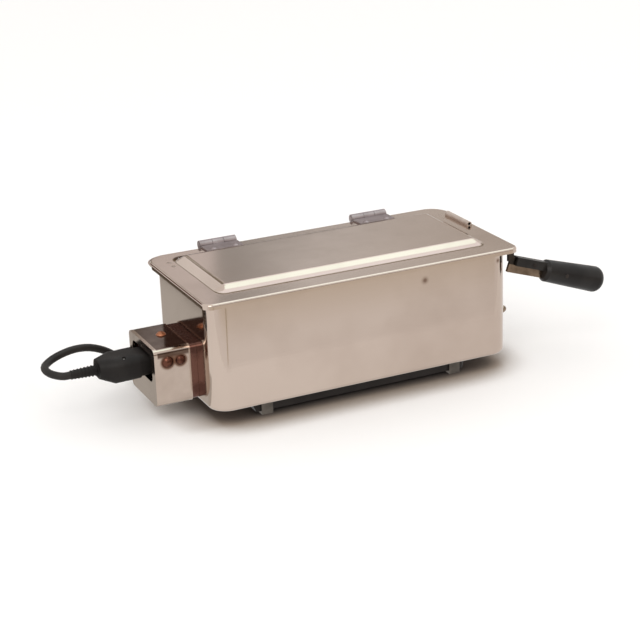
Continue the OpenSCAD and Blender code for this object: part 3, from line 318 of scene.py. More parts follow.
tankDarkSpots = [  # darker brown soft spots on the tank's front: x, y, z, full and fading radius in mm, and strength
    (137.4, -70, 107.3, 0, 4.0, 0.9), (60.1, -70, 102.0, 0, 5.5, 0.75)]
coverStains = [(-178, -33, 57.5, 5.4, 8.6, 0.9), (-166, -33, 57.5, 5.0, 8.0, 0.9), (-172, -33, 60.0, 3.0, 7.0, 0.8)]
armLine = 0.0886 + 0.3365 * (tankMid.x + 0.187)  # the handle arm's middle line, above which it is blackened
metalFinishes = {
    "polishedSteel": {
        "colours": ((0.58, 0.475, 0.405, 1), (0.50, 0.40, 0.335, 1)), "Base Roughness": 0.085, "Smudge": 0.05,
        "Size": 7.0, "Dent Depth": 0.05, "Scratch Depth": 0.08, "stains": tankDarkSpots},
    "coverSteel": {
        "colours": ((0.50, 0.405, 0.34, 1), (0.43, 0.34, 0.28, 1)), "Base Roughness": 0.10, "Smudge": 0.06,
        "Size": 30.0, "Dent Depth": 0.05, "Scratch Depth": 0.10, "stains": coverStains,
        # painted reflection and shade: the cover's top, above 69.2 mm, and a band below its top edge are darkened
        # to dark red-brown
        "tint": {"above": 0.0692, "band": (0.0612, 0.0674), "ends": (-0.1875, -0.1578),
                 "colour": (0.095, 0.055, 0.038, 1)}},
    # painted reflection: the arm's steel has dark bronze colours for the warm light its front reflects
    "armSteel": {
        "colours": ((0.30, 0.22, 0.16, 1), (0.13, 0.09, 0.06, 1)), "Base Roughness": 0.22, "Smudge": 0.1,
        "Size": 50.0, "Dent Depth": 0.05, "Scratch Depth": 0.2,
        "tint": {"above": armLine, "slope": 0.3365, "colour": (0.03, 0.026, 0.023, 1)}},
    "nutSteel": {
        "colours": ((0.30, 0.22, 0.16, 1), (0.13, 0.09, 0.06, 1)), "Base Roughness": 0.22, "Smudge": 0.1,
        "Size": 50.0, "Dent Depth": 0.05, "Scratch Depth": 0.2},
    "flushSteel": {
        "colours": ((0.56, 0.46, 0.395, 1), (0.50, 0.40, 0.335, 1)), "Base Roughness": 0.34, "Smudge": 0.05,
        "Size": 20.0, "Dent Depth": 0.05, "Scratch Depth": 0.10},
    # painted light: the lug's steel is lighter than the polished steel, to give back the brightness its rougher
    # finish loses
    "lugSteel": {
        "colours": ((0.66, 0.56, 0.49, 1), (0.50, 0.41, 0.35, 1)), "Base Roughness": 0.40, "Smudge": 0.1,
        "Size": 60.0, "Dent Depth": 0.05, "Scratch Depth": 0.10},
    "dullSteel": {
        "colours": ((0.35, 0.29, 0.285, 1), (0.27, 0.22, 0.215, 1)), "Base Roughness": 0.42, "Smudge": 0.1,
        "Size": 50.0, "Dent Depth": 0.05, "Scratch Depth": 0.2},
    "footSteel": {
        "colours": ((0.16, 0.14, 0.12, 1), (0.09, 0.08, 0.07, 1)), "Base Roughness": 0.45, "Smudge": 0.1,
        "Size": 50.0, "Dent Depth": 0.05, "Scratch Depth": 0.2},
    # painted reflection: the box neck's polished steel has a dark red-brown colour for the reddish reflection it
    # shows
    "tintedSteel": {
        "colours": ((0.20, 0.105, 0.085, 1), (0.11, 0.055, 0.045, 1)), "Base Roughness": 0.20, "Smudge": 0.12,
        "Size": 60.0, "Dent Depth": 0.08, "Scratch Depth": 0.15},
    "darkSteel": {
        "colours": ((0.06, 0.05, 0.045, 1), (0.035, 0.03, 0.028, 1)), "Base Roughness": 0.35, "Smudge": 0.1,
        "Size": 60.0, "Dent Depth": 0.02, "Scratch Depth": 0.2},
    "satinSteel": {
        "colours": ((0.50, 0.47, 0.44, 1), (0.40, 0.37, 0.35, 1)), "Base Roughness": 0.30, "Smudge": 0.12,
        "Size": 40.0, "Dent Depth": 0.05, "Scratch Depth": 0.30},
    "amberBrass": {
        "colours": ((0.13, 0.052, 0.034, 1), (0.05, 0.020, 0.014, 1)), "Base Roughness": 0.22, "Smudge": 0.2,
        "Size": 160.0, "Dent Depth": 0.05, "Scratch Depth": 0.2,
        # painted reflection: screw heads above 70 mm, on the box's top, are lighter orange
        "tint": {"above": 0.0700, "colour": (0.42, 0.17, 0.09, 1)}},
    "machinedBrass": {
        "colours": ((0.62, 0.42, 0.16, 1), (0.42, 0.26, 0.09, 1)), "Base Roughness": 0.24, "Smudge": 0.15,
        "Size": 90.0, "Dent Depth": 0.02, "Scratch Depth": 0.35},
    "copperStrip": {
        "colours": ((0.62, 0.25, 0.12, 1), (0.30, 0.11, 0.06, 1)), "Base Roughness": 0.28, "Smudge": 0.2,
        "Size": 90.0, "Dent Depth": 0.02, "Scratch Depth": 0.35},
    "heatedSheath": {
        "colours": ((0.20, 0.16, 0.14, 1), (0.10, 0.085, 0.10, 1)), "Base Roughness": 0.38, "Smudge": 0.2,
        "Size": 30.0, "Dent Depth": 0.05, "Scratch Depth": 0.3},
}


def makeMetal(name, finish):
    material, tree, surface = newMaterial(name, Metallic=1.0)
    marks = useGroup(tree, handMarks, {k: v for k, v in finish.items() if k[0].isupper()})
    light, dark = finish["colours"]
    colour = blendColours(tree, marks.outputs["Mask"], light, dark)
    # darker brown spots around given points
    for x, y, z, core, radius, strength in finish.get("stains", ()):
        gap = addNode(tree, "ShaderNodeVectorMath", {0: objectPoints(tree), 1: place(x, y, z)},
                      operation="DISTANCE").outputs["Value"]
        near = remap(tree, gap, core / 1000, radius / 1000, 1.0, 0.0)
        spotShare = calculate(tree, "MULTIPLY", calculate(tree, "MULTIPLY", near, near), strength * 1.6)
        spotShare = calculate(tree, "MINIMUM", spotShare, strength)
        colour = blendColours(tree, spotShare, colour, (0.13, 0.06, 0.035, 1))
    if "tint" in finish:  # another colour above a height, along a band and between two ends: painted reflection on the terminal cover's top and top edge and on the top screw heads, and the handle arm's black upper half
        tint = finish["tint"]
        parts = addNode(tree, "ShaderNodeSeparateXYZ", {0: objectPoints(tree)})
        level = calculate(tree, "ADD", parts.outputs["Z"], calculate(
            tree, "MULTIPLY", parts.outputs["X"], tint.get("slope", 0.0)))
        share = remap(tree, level, tint["above"], tint["above"] + 0.0006, 0.0, 1.0)
        if "band" in tint:
            low, high = tint["band"]
            band = calculate(tree, "MULTIPLY", remap(tree, level, low, low + 0.0020, 0.0, 1.0),
                             remap(tree, level, high - 0.0006, high, 1.0, 0.0))
            share = calculate(tree, "MAXIMUM", share, band)
        if "ends" in tint:
            first, last = (tankMid.x + x for x in tint["ends"])
            share = calculate(tree, "MULTIPLY", share, calculate(
                tree, "MULTIPLY", remap(tree, parts.outputs["X"], first, first + 0.0006, 0.0, 1.0),
                remap(tree, parts.outputs["X"], last - 0.0004, last, 1.0, 0.0)))
        patch = remap(tree, noise(tree, 90.0, 3.0), 0.35, 0.65, 0.88, 1.0)
        colour = blendColours(tree, calculate(tree, "MULTIPLY", share, patch), colour, tint["colour"])
    tree.links.new(colour, surface.inputs["Base Color"])
    tree.links.new(marks.outputs["Roughness"], surface.inputs["Roughness"])
    tree.links.new(marks.outputs["Normal"], surface.inputs["Normal"])
    return material


mouldedFinishes = {
    "gripPlastic": {"colours": ((0.011, 0.009, 0.008, 1), (0.022, 0.019, 0.017, 1)), "Base Roughness": 0.42,
                    "Grain Size": 700.0, "Grain Depth": 0.12, "Rubbed": 0.12},
    "connectorRubber": {"colours": ((0.010, 0.008, 0.007, 1), (0.018, 0.015, 0.013, 1)), "Base Roughness": 0.52,
                        "Grain Size": 1100.0, "Grain Depth": 0.22, "Rubbed": 0.10},
    "leadRubber": {"colours": ((0.014, 0.012, 0.011, 1), (0.028, 0.024, 0.021, 1)), "Base Roughness": 0.52,
                   "Grain Size": 1400.0, "Grain Depth": 0.25, "Rubbed": 0.10},
    "plinthPaint": {"colours": ((0.020, 0.016, 0.014, 1), (0.032, 0.026, 0.023, 1)), "Base Roughness": 0.45,
                    "Grain Size": 500.0, "Grain Depth": 0.30, "Rubbed": 0.10},
    "steatite": {"colours": ((0.72, 0.66, 0.54, 1), (0.55, 0.47, 0.36, 1)), "Base Roughness": 0.60,
                 "Grain Size": 900.0, "Grain Depth": 0.25, "Rubbed": 0.10},
}


def makeMoulded(name, finish):
    material, tree, surface = newMaterial(name, Specular_IOR_Level=0.2)
    grain = useGroup(tree, mouldGrain, {k: v for k, v in finish.items() if k != "colours"})
    dark, worn = finish["colours"]
    tree.links.new(blendColours(tree, grain.outputs["Mask"], dark, worn), surface.inputs["Base Color"])
    tree.links.new(grain.outputs["Roughness"], surface.inputs["Roughness"])
    tree.links.new(grain.outputs["Normal"], surface.inputs["Normal"])
    return material


finishes = {name: makeMetal(name, finish) for name, finish in metalFinishes.items()}
finishes.update({name: makeMoulded(name, finish) for name, finish in mouldedFinishes.items()})
print("materials made:", len(finishes))


def settle(piece, finish, body, slot, *replaced):  # finish a piece, seat it and let it stand for its nodes
    piece.data.materials.clear()
    piece.data.materials.append(finishes[finish])
    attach(piece, body)
    if replaced:
        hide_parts(*replaced)
    return piece


# ---- mains lead, on the route of the solids
mainsLead = {
    "radius": 0.0035, "sides": 16,
    "lead": [
        (-257, 0, 50), (-263.5, 0, 50), (-269.2, 3, 50.8), (-273.4, 8.6, 51.5), (-275.1, 16, 52.1),
        (-273.9, 24, 52.1), (-270.2, 31, 52), (-262.6, 38, 52.8), (-253.5, 43, 53.8), (-242.8, 47, 54.4),
        (-232.4, 50, 53.7), (-222.1, 53, 51.2), (-212.2, 55, 47), (-204.2, 57, 42.1), (-194, 61, 34),
        (-184, 65, 26), (-174, 71, 17.5), (-163, 79, 9.8), (-151, 88, 5.2), (-137, 98, 3.7), (-121, 106, 3.7),
        (-103, 111, 4), (-84, 112, 4.6), (-64, 112, 5), (-44, 112, 5)],
    "coil": {"middle": (-44, 160), "radius": 48, "step": 7.9, "turns": 2.5, "rise": 7.8, "rings": 24, "height": 5},
    "tail": [
        (-44, 112, 12.8), (-34, 112, 12.8), (-22, 111, 11.5), (-9, 110, 8.6), (4, 110, 5.6), (17, 112, 3.7),
        (30, 116, 4.6), (41, 121, 7.4), (51, 125, 10.6), (61, 127, 12), (72, 127, 12)],
}


def coilPoints(coil):
    points = []
    for i in range(int(2 * coil["turns"] * coil["rings"]) + 1):
        turn = i / coil["rings"]
        inward = turn if turn < coil["turns"] else 2 * coil["turns"] - turn
        radius = coil["radius"] - coil["step"] * inward
        lift = min(1, max(0, (turn - coil["turns"] + 0.25) * 2)) * coil["rise"]
        a = math.radians(-90 + 360 * turn)
        points.append((coil["middle"][0] + radius * math.cos(a), coil["middle"][1] + radius * math.sin(a),
                       coil["height"] + lift))
    return points


def smoothed(points, parts=3):  # a curve through every point
    points = [Vector(p) for p in points]
    result = []
    for i in range(len(points) - 1):
        a, b = points[i], points[i + 1]
        before = points[i - 1] if i else a + (a - b)
        after = points[i + 2] if i + 2 < len(points) else b + (b - a)
        for k in range(parts):
            t = k / parts
            result.append(0.5 * (2 * a + (b - before) * t + (2 * before - 5 * a + 4 * b - after) * t * t
                                 + (3 * a - before - 3 * b + after) * t ** 3))
    result.append(points[-1])
    return result


def tubeAlong(path, radius, sides):
    rings, side = [], None
    for i, point in enumerate(path):
        ahead = (path[min(i + 1, len(path) - 1)] - path[max(i - 1, 0)]).normalized()
        side = Vector((0, 0, 1)).cross(ahead) if side is None else side
        side = (side - ahead * side.dot(ahead)).normalized()
        upward = ahead.cross(side)
        rings.append([point + radius * (side * math.cos(a) + upward * math.sin(a))
                      for a in (2 * math.pi * k / sides for k in range(sides))])
    return skin(rings, True, True)


leadPath = smoothed([place(*p) for p in mainsLead["lead"][:-1] + coilPoints(mainsLead["coil"])
                     + mainsLead["tail"][1:]], 2)
mainsCord = newPiece("mainsLead", *tubeAlong(leadPath, mainsLead["radius"], mainsLead["sides"]), smooth=50)
settle(mainsCord, "leadRubber", "cord_set", "cord_black", "cord_lead", "cord_coil", "cord_tail")


# ---- connector, plug and tie
def dressNode(node, name, finish, body, slot, bevel, segments=2, smooth=32, angle=30):
    piece = copyNode(name, node, smooth)
    bevelEdges(piece, bevel, segments, angle)
    keepFlat(piece)
    return settle(piece, finish, body, slot, node)


leadPieces = [
    dressNode("connector_nose", "connectorNose", "connectorRubber", "cord_set", "connector_black", 0.8, 3),
    dressNode("connector_grip", "connectorGrip", "connectorRubber", "cord_set", "connector_black", 0.8, 3),
    dressNode("cord_tie", "leadTie", "leadRubber", "cord_set", "cord_black", 0.3),
    dressNode("mains_plug", "mainsPlug", "connectorRubber", "cord_set", "connector_black", 1.2, 3),
    dressNode("plug_pins", "plugPins", "machinedBrass", "cord_set", "brass", 0.3),
]


# ---- a ribbed sleeve where the lead leaves its connector; the plug's relief keeps its solid
ribSleeve = {"ribs": 8, "startRadius": 3.8, "endRadius": 4.7, "ribThickness": 0.52, "length": 22.4}


def makeRibTree():
    tree, given, made = newTree("ribbedSleeve", [
        ("Ribs", "Int", 5), ("Start Radius", "Float", 0.0045), ("End Radius", "Float", 0.006),
        ("Rib Thickness", "Float", 0.0007), ("Length", "Float", 0.016), ("Finish", "Material", None)])
    line = addNode(tree, "GeometryNodeMeshLine", {
        "Count": given.outputs["Ribs"], "Start Location": (0, 0, 0)}, mode="END_POINTS")
    far = addNode(tree, "ShaderNodeCombineXYZ", {"X": given.outputs["Length"]})
    tree.links.new(far.outputs[0], line.inputs["Offset"])
    rim = addNode(tree, "GeometryNodeCurvePrimitiveCircle", {"Resolution": 40, "Radius": 1.0})
    share = calculate(tree, "DIVIDE", given.outputs["Rib Thickness"], given.outputs["Start Radius"])
    section = addNode(tree, "GeometryNodeCurvePrimitiveCircle", {"Resolution": 12})
    tree.links.new(share, section.inputs["Radius"])
    rib = addNode(tree, "GeometryNodeCurveToMesh", {
        "Curve": rim.outputs["Curve"], "Profile Curve": section.outputs["Curve"]})
    turned = addNode(tree, "GeometryNodeTransform", {
        "Geometry": rib.outputs[0], "Rotation": (0, math.pi / 2, 0)})
    along = addNode(tree, "GeometryNodeInputIndex").outputs[0]
    last = calculate(tree, "SUBTRACT", given.outputs["Ribs"], 1.0)
    part = calculate(tree, "DIVIDE", along, last)
    grown = calculate(tree, "SUBTRACT", given.outputs["End Radius"], given.outputs["Start Radius"])
    size = calculate(tree, "ADD", calculate(tree, "MULTIPLY", part, grown), given.outputs["Start Radius"])
    scale = addNode(tree, "ShaderNodeCombineXYZ", {"X": size, "Y": size, "Z": size})
    copies = addNode(tree, "GeometryNodeInstanceOnPoints", {
        "Points": line.outputs["Mesh"], "Instance": turned.outputs[0], "Scale": scale.outputs[0]})
    both = addNode(tree, "GeometryNodeJoinGeometry")
    tree.links.new(copies.outputs[0], both.inputs[0])
    tree.links.new(given.outputs["Geometry"], both.inputs[0])
    real = addNode(tree, "GeometryNodeRealizeInstances", {"Geometry": both.outputs[0]})
    soft = addNode(tree, "GeometryNodeSetShadeSmooth", {"Geometry": real.outputs[0]})
    coat = addNode(tree, "GeometryNodeSetMaterial", {
        "Geometry": soft.outputs[0], "Material": given.outputs["Finish"]})
    tree.links.new(coat.outputs[0], made.inputs[0])
    return tree


def turnedForm(name, profile, origin, ahead, sides=48, smooth=32):  # profile: (along, radius) in mm
    ahead = Vector(ahead).normalized()
    side = ahead.orthogonal().normalized()
    upward = ahead.cross(side)
    rings = []
    for along, radius in profile:
        middle = origin + ahead * along / 1000
        rings.append([middle + radius / 1000 * (side * math.cos(a) + upward * math.sin(a))
                      for a in (2 * math.pi * k / sides for k in range(sides))])
    return newPiece(name, *skin(rings, True, True), smooth=smooth)


ribTree = makeRibTree()


def makeSleeve(name, start, node):
    core = turnedForm(name + "Core", [(0, 3.6), (0.3, 3.9), (23.5, 4.5), (24.2, 5.0), (29.8, 5.0), (30, 4.9)],
                      Vector((0, 0, 0)), (1, 0, 0))
    moved = runTree(core, ribTree, {
        "Ribs": ribSleeve["ribs"], "Start Radius": ribSleeve["startRadius"] / 1000,
        "End Radius": ribSleeve["endRadius"] / 1000, "Rib Thickness": ribSleeve["ribThickness"] / 1000,
        "Length": ribSleeve["length"] / 1000, "Finish": finishes["connectorRubber"]})
    moved.name = name
    moved.data.transform(Matrix.Translation(start))
    return settle(moved, "connectorRubber", "cord_set", "connector_black", node)


leadPieces.append(makeSleeve("connectorSleeve", place(-257, 0, 50), "strain_relief"))
print("connector made")
for node in ("plug_relief", "connector_screws", "contact_sleeves"):
    leadPieces.append(nodes[node])


# ---- tank: a drawn shell with a rolled rim
tankShell = {"halfLength": 150, "halfWidth": 70, "corner": 18, "wall": 1, "floor": 14, "bottomEdge": 4,
             "rim": 117.8, "bead": 1.3, "beadOut": 2.4}


def makeTank(size):
    rings = []

    def ring(inward, height):
        rings.append(roundedRing(size["halfLength"] - inward, size["halfWidth"] - inward,
                                 size["corner"] - inward, height))

    edge, wall, floor = size["bottomEdge"], size["wall"], size["floor"]
    ring(edge + 5, floor)
    for i in range(11):
        a = math.radians(90 * i / 10)
        ring(edge - edge * math.sin(a), floor + edge - edge * math.cos(a))
    beadMid, beadHeight = size["bead"] - size["beadOut"], size["rim"] - size["bead"]
    ring(0, beadHeight - 0.75)
    for i in range(13):
        a = math.radians(250 * i / 12 - 35)
        ring(beadMid - size["bead"] * math.cos(a), beadHeight + size["bead"] * math.sin(a))
    ring(wall, beadHeight - 1.0)
    for i in range(9):
        a = math.radians(90 * i / 8)
        inner = edge - wall
        ring(wall + inner - inner * math.cos(a), floor + wall + inner - inner * math.sin(a))
    ring(edge + 5, floor + wall)
    return newPiece("tankShell", *skin(rings, True, True), smooth=40)


tankPiece = makeTank(tankShell)
keepFlat(tankPiece)
settle(tankPiece, "polishedSteel", "tank", "polished_steel", "tank")
print("tank made")


# ---- lid: flange with a turned lip, and the flat panel pressed up from it
lidShell = {
    "halfLength": 156.5, "front": -76.5, "rear": 78.5, "frontCorner": 9, "rearCorner": 20, "under": 118,
    "sheet": 1.2, "lip": 5, "lipEnd": 56, "edgeRound": 2.2,
    "panelHalf": 135, "panelFront": -50, "panelRear": 58, "panelRise": 5.2, "panelCorner": 8,
    "frontRound": 4, "rearRound": 9, "endRound": 11, "sideRun": 12, "frontRun": 7, "rearRun": 10,
    "endCrease": 1.0, "longCrease": 7.0,
}


def makeLid(size):
    top = size["under"] + size["sheet"]
    steps = 12
    rings = []
    breaks = (size["lipEnd"], size["lipEnd"] - 0.6)

    def outline(inward, heightOf):
        ring = []
        half, front, rear = size["halfLength"] - inward, size["front"] + inward, size["rear"] - inward
        for quarter in range(4):
            radius = (size["rearCorner"] if quarter < 2 else size["frontCorner"]) - inward
            cx = (half - radius) * (1 if quarter in (0, 3) else -1)
            cy = rear - radius if quarter < 2 else front + radius
            for i in range(steps + 1):
                a = math.pi / 2 * (quarter + i / steps)
                ring.append((cx + radius * math.cos(a), cy + radius * math.sin(a)))
            if quarter == 1:
                ring += [(-half, y) for y in breaks]
            if quarter == 3:
                ring += [(half, y) for y in reversed(breaks)]
        rings.append([place(x, y, heightOf(y)) for x, y in ring])

    def lipFoot(y):
        return top - size["lip"] if y < size["lipEnd"] - 0.3 else size["under"]

    round_ = size["edgeRound"]
    outline(0, lipFoot)
    outline(0, lambda y: top - round_)
    for i in range(1, 9):
        a = math.radians(90 * i / 8)
        outline(round_ - round_ * math.cos(a), lambda y, a=a: top - round_ + round_ * math.sin(a))
    panelRings(size, top, steps, rings)
    points, faces = skin(rings, False, True)
    return newPiece("lidShell", points, faces, smooth=32)


def panelRings(size, top, steps, rings):
    # every point of the base outline leans in to the ball of its corner, with a hollow crease at its foot
    upward = Vector((0, 0, 1))
    sides, corner = [], size["panelCorner"]
    for quarter in range(4):
        back, sx = quarter < 2, 1 if quarter in (0, 3) else -1
        edge = Vector((sx * (size["panelHalf"] - size["sideRun"]),
                       size["panelRear"] - size["rearRun"] if back else size["panelFront"] + size["frontRun"],
                       top + size["panelRise"]))
        foot = Vector((sx * (size["panelHalf"] - corner),
                       size["panelRear"] - corner if back else size["panelFront"] + corner, top))
        for i in range(steps + 1):
            a = math.pi / 2 * (quarter + i / steps)
            flat = Vector((math.cos(a), math.sin(a), 0))
            ball = size["endRound"] + (size["rearRound" if back else "frontRound"] - size["endRound"]) * math.sin(a) ** 2
            centre = edge - upward * ball
            reach = foot + flat * corner - centre
            across, below = reach.dot(flat), -reach.z
            lean = math.acos(ball / math.hypot(across, below)) - math.atan2(below, across)
            crease = size["endCrease"] + (size["longCrease"] - size["endCrease"]) * math.sin(a) ** 2
            sides.append((foot + flat * corner, flat, centre, ball, lean, crease))
        if quarter in (1, 3):
            sides += [sides[-1], sides[-1]]

    def tangent(flat, centre, ball, angle):
        return centre + (flat * math.cos(angle) + upward * math.sin(angle)) * ball

    for i in range(7):
        t, ring = i / 6, []
        for start, flat, centre, ball, lean, crease in sides:
            climb = (tangent(flat, centre, ball, lean) - start).normalized() * crease
            ring.append(start + flat * crease * (1 - t) ** 2 + climb * t ** 2)
        rings.append([place(*p) for p in ring])
    for i in range(9):
        rings.append([place(*tangent(flat, centre, ball, lean + (math.pi / 2 - lean) * i / 8))
                      for start, flat, centre, ball, lean, crease in sides])


lidPiece = makeLid(lidShell)
addModifier(lidPiece, "SOLIDIFY", thickness=lidShell["sheet"] / 1000, offset=-1)
fixShape(lidPiece, 32)
keepFlat(lidPiece)
settle(lidPiece, "polishedSteel", "lid", "polished_steel", "lid")
print("lid made")

# ---- sheet metal and turned pieces that keep their solids' shape, with softened edges
softened = [
    ("hinge_leaf_tank_left", "hingeTankLeft", "dullSteel", "tank", "polished_steel", 0.3),
    ("hinge_leaf_tank_right", "hingeTankRight", "dullSteel", "tank", "polished_steel", 0.3),
    ("hinge_leaf_lid_left", "hingeLidLeft", "dullSteel", "lid", "polished_steel", 0.3),
    ("hinge_leaf_lid_right", "hingeLidRight", "dullSteel", "lid", "polished_steel", 0.3),
    ("lid_lug", "lidLug", "lugSteel", "lid", "polished_steel", 0.4),
    ("terminal_box_neck", "boxNeck", "tintedSteel", "tank", "polished_steel", 0.25),
    ("terminal_box_cover", "boxCover", "coverSteel", "tank", "polished_steel", 0.35),
    ("handle_arm", "handleArm", "armSteel", "lid", "polished_steel", 0.35),
    ("handle_grip", "handleGrip", "gripPlastic", "lid", "grip_black", 0.6),
    ("base_plinth", "plinth", "plinthPaint", "tank", "plinth_black", 0.35),
    ("feet", "plinthFeet", "footSteel", "tank", "satin_steel", 0.3),
    ("dome_nut", "domeNut", "nutSteel", "tank", "satin_steel", 0.2),
    ("terminal_carrier", "terminalCarrier", "steatite", "tank", "carrier_cream", 0.4),
]
for node, name, finish, body, slot, width in softened:
    dressNode(node, name, finish, body, slot, width)
print("softened pieces made:", len(softened))

# ---- CAD pieces that stay, with their finishes
plainFinishes = {
    "satinSteel": [
        "level_screw", "lift_arm_left", "lift_arm_right", "lift_pins", "tray", "tray_hanger_left", "tray_hanger_right", "tray_rivets", "guide_rods", "rod_brackets",
        "element_studs", "carrier_brackets", "carrier_screws", "earth_clips", "connector_screws"],
    "flushSteel": ["arm_rivets"],
    "dullSteel": ["hinge_pins", "hinge_rivets", "lid_rivets"],
    "darkSteel": ["handle_rivets"],
    "machinedBrass": ["element_glands", "gland_nuts", "link_nuts", "cover_nuts", "inlet_pins", "contact_sleeves"],
    "amberBrass": ["cover_screws"],
    "copperStrip": ["element_links"],
    "heatedSheath": ["heating_element"],
    "connectorRubber": ["plug_relief"],
}
for finish, names in plainFinishes.items():
    for name in names:
        nodes[name].data.materials.clear()
        nodes[name].data.materials.append(finishes[finish])


# ---- pale floor, soft light, and cards that only polished metal reflects
studio = {"floor": 12.0, "worldLight": 1.0, "keyPower": 12.0}
floorShare = {"camera": 0.0, "glossy": 0.78}
contactShade = {"reach": 0.042, "dark": (0.07, 0.058, 0.05, 1), "soft": (0.35, 0.29, 0.24, 1),
                "pale": (0.995, 0.99, 0.985, 1)}


def whiteForView(tree, surface, white, camera, glossy):  # how far each kind of ray sees plain white
    paths = tree.nodes.new("ShaderNodeLightPath")
    other = calculate(tree, "MAXIMUM", paths.outputs["Is Glossy Ray"], paths.outputs["Is Transmission Ray"])
    seen = calculate(tree, "MAXIMUM", calculate(tree, "MULTIPLY", paths.outputs["Is Camera Ray"], camera),
                     calculate(tree, "MULTIPLY", other, glossy))
    mix = tree.nodes.new("ShaderNodeMixShader")
    tree.links.new(seen, mix.inputs[0])
    tree.links.new(surface, mix.inputs[1])
    tree.links.new(white, mix.inputs[2])
    return mix.outputs[0]


def makeFloor():
    size = studio["floor"] / 2
    mesh = bpy.data.meshes.new("paleFloor")
    mesh.from_pydata([(-size, -size, 0), (size, -size, 0), (size, size, 0), (-size, size, 0)], [], [(0, 1, 2, 3)])
    floor = bpy.data.objects.new("paleFloor", mesh)
    bpy.context.scene.collection.objects.link(floor)
    material, tree, surface = newMaterial("paleFloor", Roughness=0.9)
    near = addNode(tree, "ShaderNodeAmbientOcclusion", {"Distance": contactShade["reach"]}, samples=12)
    close = blendColours(tree, remap(tree, near.outputs["AO"], 0.22, 0.52, 0.0, 1.0),
                         contactShade["dark"], contactShade["soft"])
    away = remap(tree, near.outputs["AO"], 0.58, 0.93, 0.0, 1.0)
    parts = addNode(tree, "ShaderNodeSeparateXYZ", {0: objectPoints(tree)})
    beside = remap(tree, parts.outputs["X"], tankMid.x - 0.185, tankMid.x - 0.140, 1.0, 0.0)
    away = calculate(tree, "MAXIMUM", away, beside)
    tree.links.new(blendColours(tree, away, close, contactShade["pale"]), surface.inputs["Base Color"])
    glow = tree.nodes.new("ShaderNodeEmission")
    glow.inputs["Color"].default_value = (1, 1, 1, 1)
    out = tree.nodes["Material Output"]
    tree.links.new(whiteForView(tree, surface.outputs[0], glow.outputs[0], floorShare["camera"],
                                floorShare["glossy"]), out.inputs["Surface"])
    mesh.materials.append(material)


def makeWorld():
    world = bpy.data.worlds.new("softWorld")
    bpy.context.scene.world = world
    world.use_nodes = True
    tree = world.node_tree
    soft = tree.nodes["Background"]
    soft.inputs["Color"].default_value = (1, 0.985, 0.97, 1)
    soft.inputs["Strength"].default_value = studio["worldLight"]
    white = tree.nodes.new("ShaderNodeBackground")
    white.inputs["Color"].default_value = (1, 1, 1, 1)
    white.inputs["Strength"].default_value = 1.0
    out = tree.nodes["World Output"]
    tree.links.new(whiteForView(tree, soft.outputs[0], white.outputs[0], 1.0, 1.0), out.inputs["Surface"])


def areaLight(name, spot, target, size, power, colour):
    data = bpy.data.lights.new(name, "AREA")
    data.shape, data.size, data.energy, data.color = "SQUARE", size, power, colour
    lamp = bpy.data.objects.new(name, data)
    bpy.context.scene.collection.objects.link(lamp)
    lamp.location = spot
    lamp.rotation_euler = (Vector(target) - Vector(spot)).to_track_quat("-Z", "Y").to_euler()


def reflectionCard(name, corners, nearColour, farColour, axis="X", nearAt=0.0, farAt=1.0):
    mesh = bpy.data.meshes.new(name)
    mesh.from_pydata([tankMid + Vector(c) for c in corners], [], [(0, 1, 2, 3)])
    card = bpy.data.objects.new(name, mesh)
    bpy.context.scene.collection.objects.link(card)
    material = bpy.data.materials.new(name)
    material.use_nodes = True
    tree = material.node_tree
    tree.nodes.remove(tree.nodes["Principled BSDF"])
    parts = addNode(tree, "ShaderNodeSeparateXYZ", {0: objectPoints(tree)})
    shift = tankMid["XYZ".index(axis)]
    share = remap(tree, parts.outputs[axis], nearAt + shift, farAt + shift, 0.0, 1.0)
    glow = tree.nodes.new("ShaderNodeEmission")
    tree.links.new(blendColours(tree, share, (*nearColour, 1), (*farColour, 1)), glow.inputs["Color"])
    tree.links.new(glow.outputs[0], tree.nodes["Material Output"].inputs["Surface"])
    mesh.materials.append(material)
    card.visible_camera = card.visible_diffuse = card.visible_shadow = card.visible_transmission = False


def wallCard(name, x, z, y, *colours):  # upright, facing the object from behind
    reflectionCard(name, [(x[0], y, z[0]), (x[1], y, z[0]), (x[1], y, z[1]), (x[0], y, z[1])], *colours)


def floorCard(name, x, y, z, *colours):
    reflectionCard(name, [(x[0], y[0], z), (x[1], y[0], z), (x[1], y[1], z), (x[0], y[1], z)], *colours)


makeFloor()
makeWorld()
areaLight("keyLight", (-1.1, -1.5, 1.7), (0, 0, 0.05), 1.2, studio["keyPower"], (1, 0.97, 0.94))
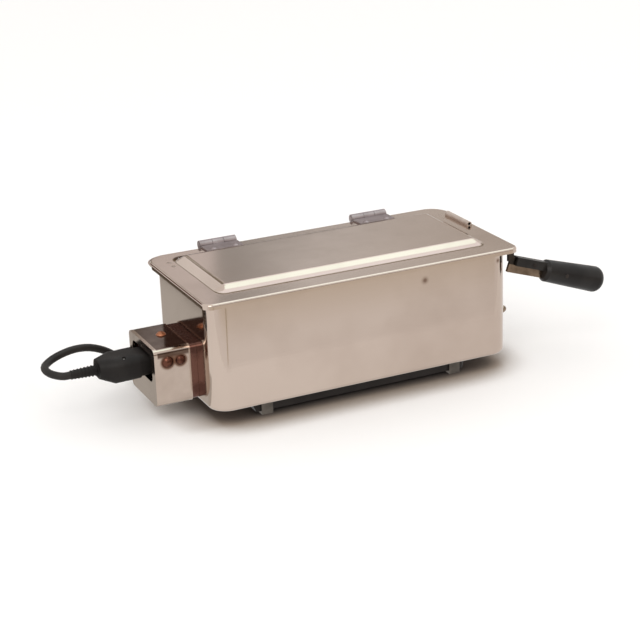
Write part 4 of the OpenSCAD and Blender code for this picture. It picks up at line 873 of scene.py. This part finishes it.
# what the lid's top, its step and roundings, the box's top and the walls mirror
wallCard("boxShade", (-0.55, 0.79), (1.00, 1.44), 3.0, (0.20, 0.155, 0.10), (0.20, 0.155, 0.10))
wallCard("backLight", (0.79, 1.03), (1.00, 1.44), 3.0, (0.74, 0.69, 0.67), (0.80, 0.75, 0.74), "X", 0.85, 1.0)
wallCard("backShade", (1.03, 1.34), (1.00, 1.44), 3.0, (0.44, 0.43, 0.42), (0.76, 0.75, 0.74), "X", 1.08, 1.34)
wallCard("backGrey", (1.34, 2.6), (1.00, 1.44), 3.0, (0.76, 0.75, 0.74), (0.62, 0.58, 0.54), "X", 1.34, 1.9)
wallCard("backLow", (0.2, 1.55), (0.05, 1.00), 3.0, (0.12, 0.09, 0.075), (0.12, 0.09, 0.075))
wallCard("backEnd", (1.55, 3.2), (-0.2, 1.00), 3.0, (0.55, 0.50, 0.46), (0.62, 0.57, 0.52), "X", 1.6, 2.2)
wallCard("frontBand", (-0.6, 2.4), (0.0, 0.50), -2.0, (0.17, 0.10, 0.07), (0.17, 0.10, 0.07))
wallCard("darkBand", (0.05, 2.4), (1.26, 1.70), 2.4, (0.20, 0.16, 0.10), (0.20, 0.16, 0.10))
wallCard("redCard", (-1.60, -0.62), (0.30, 1.75), 2.4, (0.17, 0.10, 0.085), (0.17, 0.10, 0.085))
floorCard("softBox", (0.1, 1.6), (-0.70, 0.35), 1.6, (1.70, 2.0, 1.98), (1.70, 2.0, 1.98))
floorCard("softPink", (0.1, 1.9), (0.36, 1.7), 1.6, (1.35, 1.38, 1.48), (1.35, 1.38, 1.48))
floorCard("leftFloor", (-0.258, -0.154), (-0.03, 0.6), 0.0008, (0.57, 0.56, 0.53), (0.57, 0.56, 0.53))
floorCard("leftStrip", (-0.42, -0.258), (0.08, 0.7), 0.0008, (0.09, 0.065, 0.045), (0.09, 0.065, 0.045))
floorCard("frontFloor", (-0.6, 0.8), (-0.9, -0.2), 0.0008, (0.93, 0.92, 0.91), (0.77, 0.72, 0.64),
          "Y", -0.26, -0.38)
reflectionCard("cornerLine", [(-0.146, -0.215, 0.001), (-0.132, -0.215, 0.001), (-0.094, -0.46, 0.001),
                              (-0.124, -0.46, 0.001)], (0.66, 0.60, 0.50), (0.46, 0.40, 0.28), "Y", -0.215, -0.35)
view = bpy.context.scene.view_settings
view.view_transform = "Standard"
print("stage set")
